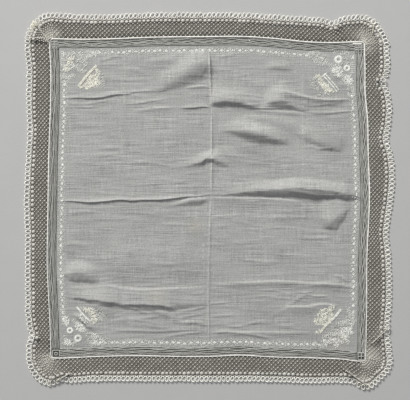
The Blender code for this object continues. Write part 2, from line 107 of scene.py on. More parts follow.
# Folds and creases of the linen. Each runs through its places, read in millimetres
# across and down the picture, and is listed so that its lit side, up or to the left, is on
# the left of its direction. "rise" is its height, "lit" and "dark" are the half widths of
# its two slopes, and "peak" goes from 0 for a soft ridge to 1 for a pressed crease.
PICTURE_MIDDLE = (208.75, 200.7)
Crease = namedtuple("Crease", "places rise lit dark peak")
CREASES = rows_of(Crease,
    # upper left
    ([(62, 98.6), (80, 98), (92, 98.3), (105, 97), (114, 94.8), (127, 94.3), (139, 91.8)],
     1.25, 5.0, 1.1, 0.9),
    ([(66, 104), (84, 104.5), (100, 102), (112, 101)], 0.5, 3.0, 2.0, 0.5),
    ([(76, 107), (86, 107.5), (97, 107.2)], 0.5, 3.0, 1.5, 0.7),
    ([(138, 91.3), (150, 91.3), (161, 91), (170, 89.5)], 0.6, 5.0, 1.4, 0.7),
    ([(184, 88), (194, 86.9), (204, 86.3), (212, 88)], 0.8, 1.5, 4.0, 0.8),
    ([(180, 108), (194, 107.8), (204, 106.8), (212, 108)], 1.1, 4.0, 1.3, 0.8),
    ([(130, 112), (142, 110), (155, 108.5), (176, 107)], 0.7, 1.6, 4.0, 0.6),
    ([(122, 104.5), (140, 103.5), (152, 101), (168, 99.5)], 0.6, 3.0, 1.6, 0.7),
    ([(128, 163), (145, 163), (157, 163.8), (167, 166.3), (180, 167.8)], 0.5, 4.0, 1.7, 0.6),
    ([(142, 182.5), (165, 181.5), (178, 181.8), (190, 185)], 0.25, 6.0, 5.0, 0.2),
    ([(52, 201.6), (75, 201.3), (86, 202.2), (108, 201), (120, 199.8), (131, 200.6), (142, 199.9),
     (160, 199.7), (172, 198.6), (184, 197), (197, 196.4), (206, 195.2), (213, 194)],
     1.7, 4.2, 1.1, 0.9),
    ([(170, 191), (186, 190), (203, 188.5)], 0.35, 9.0, 5.0, 0.0),
    ([(96, 63), (108, 59), (120, 55.5)], 0.7, 3.0, 1.4, 0.7),
    ([(127, 68), (137, 71), (146, 75.5)], 0.7, 3.0, 1.5, 0.7),
    ([(140, 64), (160, 60), (184, 55.6), (206, 53)], 0.5, 5.0, 10.0, 0.1),
    ([(100, 148), (111, 148.3), (124, 148.3)], 0.4, 3.0, 1.4, 0.6),
    ([(124, 192), (123.5, 120), (124, 90), (127, 70), (125, 55)], 0.6, 2.0, 1.7, 0.8),
    # middle, upright
    ([(212.5, 106), (211, 92), (210.3, 76), (209, 50)], 1.3, 1.9, 2.1, 0.8),
    ([(211.5, 198), (211.5, 150), (211.5, 108)], 1.1, 1.6, 3.0, 0.8),
    ([(208.8, 352), (208.5, 310), (209, 260), (210.5, 200)], 0.9, 1.7, 2.4, 0.8),
    ([(203.5, 264), (203.2, 244)], 0.5, 1.4, 2.4, 0.7),
    # upper right
    ([(238, 106.6), (252, 108), (266, 108.8), (282, 108.6)], 1.0, 4.0, 1.4, 0.8),
    ([(250, 110.6), (266, 110.8), (282, 111.8), (304, 113)], 0.9, 1.6, 5.0, 0.5),
    ([(304, 112.6), (326, 113.3), (344, 111.8), (356, 111.3)], 0.8, 3.5, 1.5, 0.7),
    ([(302, 105.5), (315, 106.3), (330, 103.5)], 0.5, 2.5, 1.5, 0.7),
    ([(272, 89), (281, 91), (292, 93.2), (303, 96.2), (313, 98.6), (329, 99.8), (350, 99.8)],
     2.1, 1.9, 8.0, 0.7),
    ([(216, 59), (226, 56), (236, 54.5)], 0.6, 3.0, 1.5, 0.6),
    ([(283, 168), (293, 168.6), (304, 168)], 0.4, 2.5, 1.4, 0.6),
    ([(212, 103), (228, 101), (242, 102.5), (266, 109)], 1.2, 16.0, 6.0, 0.0),
    ([(218, 133), (240, 130), (256, 133), (280, 141)], 0.6, 14.0, 10.0, 0.0),
    ([(226, 126), (252, 120), (280, 122), (312, 132)], 1.0, 9.0, 14.0, 0.0),
    ([(206, 160), (222, 154), (244, 159)], 0.9, 10.0, 12.0, 0.0),
    ([(280, 178), (296, 180), (310, 181), (322, 183.5), (352, 184.6)], 0.8, 1.8, 6.0, 0.5),
    ([(206, 197), (222, 198), (240, 198.4), (266, 198.8), (286, 200), (306, 202)],
     1.0, 1.3, 13.0, 0.6),
    ([(282, 178), (300, 176), (322, 180), (356, 186)], 0.6, 16.0, 8.0, 0.0),
    # lower left
    ([(94, 285.4), (112, 286), (124, 288.4), (140, 289.8), (160, 289.2), (184, 288), (208, 286.6)],
     1.25, 1.5, 16.0, 0.5),
    ([(110, 320.5), (126, 318.6), (142, 320.4), (164, 324.6)], 0.6, 2.2, 4.0, 0.5),
    ([(96, 262), (150, 261), (212, 261)], 1.2, 28.0, 24.0, 0.0),
    ([(148, 308), (160, 312.5), (170, 317), (178, 324)], 0.9, 1.6, 3.5, 0.6),
    ([(128, 307), (138, 310.3), (146, 314)], 0.9, 3.0, 1.5, 0.6),
    ([(120, 318), (130, 321.5), (142, 327)], 0.6, 2.0, 6.0, 0.3),
    ([(140, 323), (156, 326.5), (172, 328)], 0.7, 2.0, 4.0, 0.5),
    ([(155, 309), (168, 313.6), (180, 321), (190, 327)], 0.9, 1.8, 3.5, 0.6),
    ([(176, 312), (190, 310), (207, 306.4)], 0.7, 1.8, 3.0, 0.6),
    ([(172, 320), (188, 316), (206, 313)], 0.6, 1.8, 3.0, 0.6),
    ([(206, 279), (204.6, 268), (203.6, 250)], 0.6, 1.4, 2.4, 0.7),
    ([(62, 247), (72, 243.6), (84, 243)], 0.6, 3.0, 1.6, 0.6),
    ([(66, 212.5), (84, 211), (96, 211.5)], 0.6, 1.8, 4.0, 0.5),
    ([(68, 239), (77, 245), (90, 246)], 0.5, 2.0, 2.0, 0.5),
    ([(160, 224.6), (178, 224.4), (196, 225)], 0.5, 1.6, 3.0, 0.6),
    ([(230, 240.6), (236, 242.6), (246, 244.6)], 0.5, 1.6, 3.0, 0.6),
    ([(262, 218.4), (284, 217.2), (310, 217)], 0.5, 1.8, 2.6, 0.6),
    ([(137, 318.8), (150, 317.6), (160, 316.4)], 0.6, 3.0, 1.6, 0.6),
    ([(180, 323.3), (195, 322.6), (208, 325)], 0.9, 4.0, 3.0, 0.4),
    ([(106, 331.2), (125, 331), (140, 331.3), (155, 331.7), (178, 330.7), (202, 330.7),
     (213, 332.5)], 0.75, 5.0, 1.5, 0.8),
    ([(160, 337), (176, 334.6), (195, 332.5), (206, 333), (210, 337)], 0.7, 1.4, 2.5, 0.7),
    ([(90, 304), (103, 308), (112, 318)], 1.3, 6.0, 6.0, 0.2),
    ([(94, 247.6), (110, 246.8), (128, 247.4)], 0.4, 1.5, 2.5, 0.6),
    # lower right
    ([(211, 282.7), (236, 282.8), (252, 282.4), (274, 281.6), (292, 282), (306, 283), (330, 283.8),
     (355, 286.4)], 1.15, 1.5, 9.0, 0.8),
    ([(209, 283.7), (221, 285.3), (240, 285), (256, 285.2), (278, 285)], 0.8, 3.0, 1.2, 0.8),
    ([(238, 257), (250, 260), (264, 261.5), (280, 262)], 0.7, 2.0, 5.0, 0.4),
    ([(266, 320.5), (276, 314.5), (285, 308.5), (300, 298), (320, 285.5)], 0.9, 2.2, 1.1, 0.8),
    ([(297, 290.5), (306, 294), (315, 296.4), (326, 296.8), (332, 301)], 0.9, 2.0, 1.4, 0.7),
    ([(280, 310.4), (288, 307), (299, 306.7), (310, 306.4), (317, 304.7), (338, 304.7)],
     1.6, 1.6, 12.0, 0.6),
    ([(214, 331), (240, 332.4), (262, 332.3), (294, 332.4), (316, 332)], 1.0, 1.5, 6.0, 0.7),
    ([(210, 332.7), (225, 331.8), (238, 333), (252, 334.8), (264, 337), (278, 340.6)],
     1.3, 3.2, 1.5, 0.7),
    ([(222, 327), (238, 326.7), (249, 324.6), (257, 321.8), (268, 320.8)], 0.7, 2.4, 1.1, 0.8),
    ([(208, 304), (216, 303.6), (230, 302.5)], 0.6, 3.0, 1.2, 0.7),
    ([(209, 317), (222, 315.8), (236, 315)], 0.5, 3.0, 1.4, 0.6),
    ([(212, 216), (226, 215.8), (242, 215.4)], 0.6, 3.0, 1.5, 0.6),
    ([(224, 202.5), (246, 202.6), (268, 205), (286, 204.8)], 0.6, 3.0, 1.5, 0.6),
    ([(296, 237), (310, 238.8), (334, 237.3)], 0.6, 3.0, 1.7, 0.5),
    ([(333, 274.5), (342, 278), (349, 282.5)], 0.8, 3.0, 1.5, 0.6),
    ([(258, 290.5), (272, 290.5), (286, 293)], 0.5, 3.0, 1.4, 0.6),
    ([(302.5, 186), (302.5, 130), (303, 72)], 0.7, 1.6, 4.0, 0.7),
    ([(303, 147.6), (312, 147), (320, 149.6), (328, 148.4), (337, 151)], 0.8, 3.0, 1.1, 0.9),
    ([(247, 140), (256, 142.6), (266, 143)], 0.5, 3.0, 1.2, 0.8),
    ([(286, 191), (300, 192.4), (316, 195.2), (334, 195.6)], 0.6, 3.0, 2.6, 0.4),
    ([(206, 215.8), (210.6, 216.4)], 0.5, 1.5, 1.1, 0.8),
    ([(204.6, 231), (211, 231.4)], 0.5, 1.5, 1.1, 0.8),
    ([(203, 236.6), (211, 236)], 0.6, 1.5, 1.1, 0.8),
    ([(204, 257), (210, 256.4)], 0.4, 1.5, 1.1, 0.8))

# Turned faces of the larger folds, each a strip that falls away from the light between its
# upper and lower lines. "steep" is its slope, "lit" the width of the rise that leads up to
# it, "soft" goes from 0 for a flat face to 1 for a rounded one, to -1 for one that gets
# steeper towards its lower line and from 1 to 2 for one that starts steep and eases off,
# and "even" from 0 for a rounded rise to 1 for a flat one.
Face = namedtuple("Face", "upper lower steep lit soft even")


def bands(*rows):
    """The two lines of a face, from places across with the upper and lower place down."""
    return [(x, upper) for x, upper, lower in rows], [(x, lower) for x, upper, lower in rows]


FACES = rows_of(Face,
    (*bands((148, 91, 91.6), (160, 88, 91.6), (172, 82, 91), (183, 74, 88.8), (193, 67, 85.6),
     (203, 62.5, 81.4), (213, 60.5, 76)), 0.25, 16.0, 0.8, 0.0),
    (*bands((176, 167, 167.6), (188, 165.6, 167), (196, 164, 166.8), (203, 160.7, 165.2),
     (209, 158.4, 163), (214, 159, 163), (220, 162.5, 166), (229, 167, 168.4)),
     0.62, 9.0, 0.1, 0.3),
    (*bands((208.5, 105, 106.4), (212.5, 102.6, 107), (220, 101.6, 106.8), (228, 101.4, 106.6),
     (236, 102.2, 107), (244, 104, 107.6), (252, 106.6, 108.4), (260, 109, 109.4)),
     0.52, 20.0, 0.15, 0.1),
    (*bands((262, 108, 108.6), (269, 103.6, 108.4), (276, 101, 109), (282, 101, 109.8),
     (288, 104.5, 110.6), (294, 107, 110.4), (301, 109.6, 111.5), (309, 111.6, 112.3)),
     0.52, 19.0, 0.15, 0.1),
    (*bands((216, 131.6, 132), (229, 131, 133), (236, 130.6, 136), (243, 130.8, 139.8),
     (250, 131.6, 142.4), (257, 133, 143.8), (265, 135.2, 144.4), (277, 138.8, 144.8),
     (290, 143.5, 146.4)), 0.42, 12.0, 0.9, 0.0),
    (*bands((296, 134, 135), (303, 135.6, 141), (311, 138, 145.6), (319, 140.8, 149),
     (327, 143.8, 151), (334, 147, 152.2), (344, 152, 153)), 0.32, 22.0, 0.9, 0.0),
    (*bands((265, 68, 69), (274, 67, 71.2), (282, 67.6, 72.2), (293, 70, 71.6)),
     0.28, 8.0, 0.8, 0.0),
    (*bands((212, 196.3, 196.6), (222, 195.4, 196), (230, 194.3, 195.8), (245, 192, 196),
     (265, 190.6, 196.8), (285, 189.1, 197.2), (300, 188.2, 197.8), (309, 189.2, 199.3),
     (322, 190.2, 199.5), (345, 193.6, 200.2), (363, 197, 201)), 0.6, 11.0, -0.5, 0.2),
    (*bands((172, 206, 207), (182, 202.4, 206.8), (190, 200.4, 207.2), (198, 199.6, 206.4),
     (208, 200, 203.2)), 0.3, 3.0, 0.8, 0.0),
    (*bands((62, 274, 276), (70, 272.6, 281), (78, 272.6, 282.7), (86, 274, 283.2),
     (92, 277, 283.2), (99, 282.6, 283.6)), 0.35, 14.0, -0.5, 0.0),
    (*bands((66, 297.5, 298), (80, 298.4, 300.4), (92, 299.4, 303.6), (100, 300.2, 306),
     (110, 301.8, 306.6), (120, 302.8, 306), (130, 303.6, 305.2), (139, 305, 305.6)),
     0.68, 14.0, 0.0, 1.0),
    (*bands((104, 303.6, 304.2), (116, 304, 307.4), (126, 304.4, 309), (138, 304.2, 310),
     (150, 304.4, 310.4), (160, 305, 310.4), (168, 306.4, 311.4), (179, 309, 311.4)),
     0.55, 16.5, 1.35, 1.0),
    (*bands((158, 303.6, 306), (172, 303, 309.4), (184, 303, 310), (196, 303.6, 308.6),
     (210, 304.6, 306)), 0.26, 16.0, 0.9, 0.8),
    ([(72, 314), (78, 316.5), (84, 321.5), (90, 327.5), (94, 331.6)], [(72, 314.6), (77, 319.6),
     (83, 325), (89, 330), (93, 332)], 0.62, 3.5, 0.2, 0.0),
    ([(322, 228), (329, 223.4), (335, 218.4), (341, 213), (350.5, 207)], [(324, 230), (335, 230.2),
     (341.5, 223.4), (346, 216.8), (351, 208.6)], 0.36, 24.0, -0.4, 0.0),
    (*bands((314, 285, 285.8), (326, 284.6, 288.8), (340, 285.6, 290.2), (356, 287.5, 289)),
     0.18, 4.0, 0.8, 0.0))

# Places where the lace is tucked or dented, from (x1, y1) to (x2, y2) about the middle.
Fold = namedtuple("Fold", "x1 y1 x2 y2 bow rise reach peak")
LACE_FOLDS = rows_of(Fold,
    (-161, -182, -139, -171, 1.0, 2.0, 4.5, 0.8), (130, -163, 158, -187, -1.0, 2.2, 5.0, 0.8),
    (160, -144, 184, -121, 1.0, 2.0, 4.5, 0.8), (129, 184, 128, 166, 0.0, 1.8, 5.0, 0.5),
    (182, 121, 166, 121, 0.0, 1.6, 5.0, 0.5), (-186, -138, -168, -136, 0.0, 1.6, 5.0, 0.5),
    (-187, 161.0, -162, 161.8, 0.0, 0.6, 2.6, 0.6))

FACE_ENDS = 8.0          # as FOLD_ENDS, for a turned face
FACE_LEAST = 0.02        # least width of a face
# Waves over the cloth, each as its turn in radians to a millimetre across and up, and its
# start. WAVER unsettles the lines of the turned faces, and each of its waves has a size
# first. SWELL is the gentle unevenness of the linen.
WAVER = ((0.4, (0.42, 0.3, 0.0)), (0.3, (0.83, -0.5, 2.0)))
SWELL = ((0.061, 0.043, 0.0), (-0.027, 0.083, 1.0))
SWELL_RISE = 0.16
WRINKLES = 1000          # fine wrinkles over the linen
WRINKLE_AREA = 146
WRINKLE_RISE = 0.2
WRINKLE_PEAK = 0.6
WRINKLE_ROOM = 6         # how far off its line a wrinkle can still reach
WRINKLE_MOST = 0.9       # most that wrinkles add where they cross
EDGE_FLAT = 10           # the linen has no wrinkles this near its edge
EDGE_FADE = 12           # and they grow over this much beyond

# Thread and cloth sizes. A rise is a height over the linen, or over the lace's underside.
START = LAP_START / 90 * CORNER_RUN   # where the lace starts, as a distance round it
CLOTH_THICK = 0.3
COARSE_UP, COARSE_ACROSS = 1.3, 3.1   # steps of the linen's mesh outside the finer zones
HEM_RADIUS = 0.75
HEM_STITCH = 1.05        # one whipped stitch along the hem
HEM_STEPS = 6000         # places tried for the stitches all round
HEM_INSET = 0.6          # how far in the hem's middle lies, in its own radii
HEM_FINER = 0.24         # how much finer the hem gets towards the bottom
# The drawn-thread band: its width inside each hem and its threads' ends along each side.
BAND_WIDTHS = (8.5, 8.5, 9.7, 8.5)
BAND_RUNS = ((-157, 158), (-157, 151.8), (-149, 148.8), (-149.4, 158))
BAND_THREADS = 6
BAND_STATIONS = 105
BAND_FIRST, BAND_LEAST, BAND_EDGE = 1.7, 1.2, 0.2   # its first thread and the room it keeps
BAND_WAVES = (11.0, 23.0, 47.0, 90.0)   # lengths of the waves in its threads
BAND_DRIFT = 0.22        # usual size of one wave
BAND_RISE = 0.22
BAND_CROSS = 0.06        # how much higher the upright threads lie than the level ones
BAND_RADII = (0.38, 0.52)
SQUARE_RISE = 0.62
SQUARE_LINE = 0.36
# The net, from the hem out to the rings.
NET_ROWS = 7
NET_FIRST = 1.1          # its first row of knots, out from the hem
NET_RISE = 0.5
NET_BAR = 0.21
KNOT_TALL = 0.42
KNOT_SIZES = (0.68, 0.92)
KNOT_DRIFT, KNOT_LIFT = 0.13, 0.12    # how far knots stray, level and up
GROUND_LOW, GROUND_HIGH = 0.12, 0.26  # under and upper side of its fine ground
GROUND_EDGE = 0.3
GROUND_COLUMNS = 5
DOT_PLACE = 8.4          # the row of dots, measured in from the ring tips
DOT_OUT, DOT_ALONG, DOT_TALL, DOT_RISE = 2.1, 2.3, 0.27, 0.25
DOT_CORD, DOT_TIE = 0.3, 0.26
HEADER_PLACE = 6.1       # the cord that the rings stand on, also in from the tips
HEADER_CORD = 0.34
# The rings of the edging.
RING_CENTRE = 2.9        # a ring's middle, in from its tip
RING_TALL = 2.45
RING_WIDE = 1.72
RING_LEAN = 0.24         # in radians
RING_TIP = 0.38          # each ring's rise over the next
RING_RISE = 0.85
RING_POINTS = 16
RING_THREAD = 0.43
TALL_VARIES, WIDE_VARIES, LEAN_VARIES, SHIFT_VARIES = 0.05, 0.08, 0.13, 0.2
LEG_THREAD = 0.36        # the two legs that each ring stands on
LEG_TOP, LEG_FOOT = 0.9, 2.0   # how far each leg stands out, and how much more at its foot
# The vine: its distance in from each hem, and its ends along each side.
VINE_PLACES = (14.1, 13.6, 13.6, 13.8)
VINE_RUNS = ((-114, 101), (-104, 117), (-111, 117), (-119, 116))
VINE_PITCH = 6.1
VINE_DRIFT, VINE_STRAY = 0.35, 0.25   # how uneven it is, along and aside
DOT_LOOSE, LEAF_LOOSE = 0.08, 0.25    # how loosely a dot and the leaves round it are worked
VINE_TALL, VINE_RISE = 0.14, 0.05
DARN_FROM, DARN_TO, DARN_LEVEL = 353.2, 361.2, 43.9   # across and down the picture
DARN_STITCHES = 12
DARN_RISE = 0.75
FLOOR_LEVEL = -0.0001    # metres, as is the next
FLOOR_HALF = 4.0

PHOTO_WIDTH = 410.0      # the picture is 410 mm wide at the cloth
PHOTO_MIDDLE = (-4.5, 0.9)
CAMERA_LENS = 100.0
SENSOR = 36.0
SPECULAR, SHEEN = 0.25, 0.1
# Colours of the linen's stains and of the painted highlight along its pressed lines.
STAIN, CREASE_HIGHLIGHT = (0.46, 0.42, 0.3), (0.78, 0.78, 0.75)
SKY, SKY_STRENGTH = (0.93, 0.96, 1.0, 1.0), 0.2


def ways(turn):
    """Directions at some angles."""
    return np.stack([np.cos(turn), np.sin(turn)], axis=-1)


def straight(start, end, count):
    """Evenly spaced points from start to end."""
    return start + (end - start) * np.linspace(0, 1, count)[:, None]


def raised(place, z):
    """Points from places on the level and their heights."""
    return np.concatenate([place, z[..., None]], axis=-1)


def ring_faces(rows, sides, closed=False):
    """Faces between rows of points that each run once round."""
    i = np.arange(rows if closed else rows - 1)[:, None]
    j = np.arange(sides)[None, :]
    ahead, beside = (i + 1) % rows, (j + 1) % sides
    corners = [i * sides + j, i * sides + beside, ahead * sides + beside, ahead * sides + j]
    return np.stack(corners, axis=-1).reshape(-1, 4)


def show(name, data):
    """A new object in the scene."""
    made = bpy.data.objects.new(name, data)
    bpy.context.scene.collection.objects.link(made)
    return made


def smooth(stations, values, at):
    """Read a smooth curve through a table, held level beyond its two ends."""
    stations = np.asarray(stations, float)
    values = np.asarray(values, float)
    at = np.clip(at, stations[0], stations[-1])
    slopes = np.gradient(values, stations)
    slopes[0] = slopes[-1] = 0.0
    span = np.clip(np.searchsorted(stations, at, side="right") - 1, 0, len(stations) - 2)
    width = stations[span + 1] - stations[span]
    t = (at - stations[span]) / width
    return (
        (2 * t**3 - 3 * t**2 + 1) * values[span]
        + (t**3 - 2 * t**2 + t) * width * slopes[span]
        + (3 * t**2 - 2 * t**3) * values[span + 1]
        + (t**3 - t**2) * width * slopes[span + 1]
    )


def hem(side, along):
    """Distance from the middle of the cloth to the hem of one side."""
    rows = SIDES[side]
    return smooth([row.along for row in rows], [row.hem for row in rows], along)


def cloth_points(a, b):
    """Places on the linen, for a and b from -1 to 1 across it and up it."""
    x0 = np.asarray(a, float) * HALF_SIDE
    y0 = np.asarray(b, float) * HALF_SIDE
    right = hem(1, -y0)
    left = -hem(3, y0)
    top = hem(0, x0)
    bottom = -hem(2, -x0)
    x = left + (right - left) * (a + 1) / 2
    y = bottom + (top - bottom) * (b + 1) / 2
    return np.stack([x, y], axis=-1)


def lace_table():
    """Stations and widths of the lace, once round, with a row beyond each end."""
    rows = []
    for k in range(4):
        start = k * LEG
        for row in CORNERS[k]:
            rows.append((start + row.degrees / 90 * CORNER_RUN, row.lace))
        for row in SIDES[k]:
            share = (row.along + HALF_SIDE) / (2 * HALF_SIDE)
            rows.append((start + CORNER_RUN + share * SIDE_RUN, row.lace))
    first, last = rows[0], rows[-1]
    rows.insert(0, (last[0] - ROUND, last[1]))
    rows.append((first[0] + ROUND, first[1]))
    return [row[0] for row in rows], [row[1] for row in rows]


LACE_AT, LACE_WIDTH = lace_table()


def lace_width(travel):
    """Width of the lace from hem to ring tips, at distances round it."""
    return smooth(LACE_AT, LACE_WIDTH, np.asarray(travel) % ROUND)


def spokes(travel):
    """Feet on the hem and outward directions, at distances clockwise round the lace."""
    travel = np.asarray(travel, float) % ROUND
    k = np.minimum((travel // LEG).astype(int), 3)
    rest = travel - k * LEG
    turned = np.minimum(rest / CORNER_RUN, 1.0)
    angle = np.pi * (1 - k / 2) - turned * np.pi / 2
    out = ways(angle)
    signs = CORNER_SIGNS[k]
    middle = cloth_points(signs[..., 0], signs[..., 1]) - HEM_CORNER * signs
    edge = 1 - HEM_CORNER / HALF_SIDE
    t = edge * (2 * (rest - CORNER_RUN) / SIDE_RUN - 1)
    a = np.choose(k, [t, 1.0, -t, -1.0])
    b = np.choose(k, [1.0, -t, -1.0, t])
    turning = (rest < CORNER_RUN)[..., None]
    return np.where(turning, middle + HEM_CORNER * out, cloth_points(a, b)), out


def from_picture(places):
    """Places read in millimetres across and down the picture, about the cloth's middle."""
    places = np.asarray(places, float)
    middle = np.array(PICTURE_MIDDLE)
    return (places - middle) * np.array([1.0, -1.0])


def ends_of(row):
    """The two ends of a row that runs from (x1, y1) to (x2, y2) in the picture."""
    return from_picture([(row.x1, row.y1), (row.x2, row.y2)])


class Line:
    """A straight line that places are measured from: along it, and aside to its left."""

    def __init__(self, start, end):
        self.start = np.array(start, float)
        run = np.array(end, float) - self.start
        self.length = np.hypot(*run)
        self.run = run / self.length
        self.side = np.array([-self.run[1], self.run[0]])

    def read(self, x, y):
        """Distances along the line and aside from it."""
        dx, dy = x - self.start[0], y - self.start[1]
        along = dx * self.run[0] + dy * self.run[1]
        return along, dx * self.side[0] + dy * self.side[1]

    def curve(self, places, along):
        """How far aside a curve through some places runs, at distances along the line."""
        away = places - self.start
        return smooth(away @ self.run, away @ self.side, along)


def grown(t, ends):
    """How far a fold has grown at a share t of its run, 0 at its two ends."""
    return np.sin(np.clip(np.minimum(ends * t, ends * (1 - t)), 0, 1) * np.pi / 2)


def ridge(aside, t, reach, rise, peak):
    """Height of a ridge that dies away at its ends, soft at peak 0 and pressed at 1."""
    fade = grown(t, FOLD_ENDS)
    across = np.clip(np.abs(aside) / (reach * (FOLD_TIP + (1 - FOLD_TIP) * fade)), 0, 1)
    soft = (1 - across**2) ** 2
    pressed = (1 - across) ** 2
    height = rise * fade * (soft + (pressed - soft) * peak)
    return np.where((t > 0) & (t < 1), height, 0.0)


def fold_height(fold, x, y):
    """Height that one fold gives to each place."""
    line = Line((fold.x1, fold.y1), (fold.x2, fold.y2))
    along, aside = line.read(x, y)
    t = along / line.length
    aside = aside - 4 * fold.bow * t * (1 - t)
    return ridge(aside, t, fold.reach, fold.rise, fold.peak)


def crease_height(crease, x, y):
    """Height that one crease gives to each place."""
    places = from_picture(crease.places)
    line = Line(places[0], places[-1])
    along, aside = line.read(x, y)
    aside = aside - line.curve(places, along)
    reach = np.where(aside > 0, crease.lit, crease.dark)
    return ridge(aside, along / line.length, reach, crease.rise, crease.peak)


def ripple(turns, x, y):
    """A wave over the cloth, from -1 to 1."""
    across, up, start = turns
    return np.sin(across * x + up * y + start)


def face_height(face, x, y):
    """Height that one turned face and the rise up to it give to each place."""
    upper, lower = from_picture(face.upper), from_picture(face.lower)
    line = Line(upper[0], upper[-1])
    along, aside = line.read(x, y)
    aside = aside + sum(size * ripple(turns, x, y) for size, turns in WAVER)
    top = line.curve(upper, along)
    thick = np.maximum(top - line.curve(lower, along), FACE_LEAST)
    share = np.clip((top - aside) / thick, 0, 1)
    if face.soft > 1:
        curved, amount = (1 - share) ** 2, face.soft - 1
    elif face.soft > 0:
        curved, amount = (1 - share**2) ** 2, face.soft
    else:
        curved, amount = 1 - share**2, -face.soft
    fall = (1 - share) + (curved - (1 - share)) * amount
    away = np.clip((aside - top) / face.lit, 0, 1)
    rounded = (1 - away**2) ** 2
    rise = rounded + ((1 - away) - rounded) * face.even
    fade = grown(along / line.length, FACE_ENDS)
    return face.steep * thick * fade * np.where(aside > top, rise, fall)


def lift(x, y):
    """Height of the underside above the ground: large folds with creases on them."""
    height = np.zeros(np.shape(x))
    crease_part = np.zeros(np.shape(x))
    for face in FACES:
        height = np.maximum(height, face_height(face, x, y))
    for crease in CREASES:
        crease_part = np.maximum(crease_part, crease_height(crease, x, y))
    height = height + crease_part
    for fold in LACE_FOLDS:
        height = np.maximum(height, fold_height(fold, x, y))
    return height


def fine_wrinkles():
    """Small creases over the linen, mostly level, as short low folds."""
    draw = np.random.default_rng(7)
    rows = []
    for _ in range(WRINKLES):
        x = draw.uniform(-WRINKLE_AREA, WRINKLE_AREA)
        y = draw.uniform(-WRINKLE_AREA, WRINKLE_AREA)
        length = draw.uniform(14, 60)
        slope = draw.normal(0.0, 0.09)
        reach = draw.uniform(1.3, 3.0)
        rise = WRINKLE_RISE * draw.uniform(0.35, 1.0)
        bow = draw.normal(0.0, 0.9)
        half = 0.5 * length
        ends = (x - half, y - slope * half, x + half, y + slope * half)
        rows.append(Fold(*ends, bow, rise, reach, WRINKLE_PEAK))
    return rows


def wrinkled_lift(x, y):
    """Height of the linen with its fine wrinkles and gentle unevenness."""
    height = lift(x, y)
    fine = np.zeros(np.shape(x))
    for wrinkle in fine_wrinkles():
        low = min(wrinkle.y1, wrinkle.y2) - WRINKLE_ROOM
        high = max(wrinkle.y1, wrinkle.y2) + WRINKLE_ROOM
        near = (y > low) & (y < high) & (x > wrinkle.x1) & (x < wrinkle.x2)
        if near.any():
            fine[near] += fold_height(wrinkle, x[near], y[near])
    swell = SWELL_RISE * (1 + ripple(SWELL[0], x, y) * ripple(SWELL[1], x, y))
    inside = HALF_SIDE - EDGE_FLAT - np.maximum(np.abs(x), np.abs(y))
    edge = np.clip(inside / EDGE_FADE, 0, 1)
    return height + (np.minimum(fine, WRINKLE_MOST) + swell) * edge


def pleat_lift(travel, share):
    """Height of the corner gathers, share 0 at the hem and 1 at the rings."""
    travel = np.asarray(travel) % ROUND
    rest = travel % LEG
    wave = np.sin(PLEATS * np.pi * rest / CORNER_RUN) ** 2
    rise = PLEAT_RISE * wave * np.sin(np.pi * (0.2 + 0.6 * share))
    return np.where((rest < CORNER_RUN) & (travel >= CORNER_RUN), rise, 0.0)


def lap_lift(travel):
    """Extra height of the lace where its start lies over its end."""
    lap = LAP_TURN / 90 * CORNER_RUN
    down = np.clip((np.asarray(travel) - lap) / LAP_RAMP, 0, 1)
    return LAP_RISE * (0.5 + 0.5 * np.cos(np.pi * down))


def lace_places(travel, offset, rise):
    """Points of the lace: distances round it, distances out from the hem, and heights."""
    travel, offset, rise = np.broadcast_arrays(
        np.asarray(travel, float), np.asarray(offset, float), np.asarray(rise, float)
    )
    foot, out = spokes(travel)
    place = foot + out * offset[..., None]
    z = lift(place[..., 0], place[..., 1]) + rise
    z = z + pleat_lift(travel, offset / lace_width(travel)) + lap_lift(travel)
    return raised(place, z)


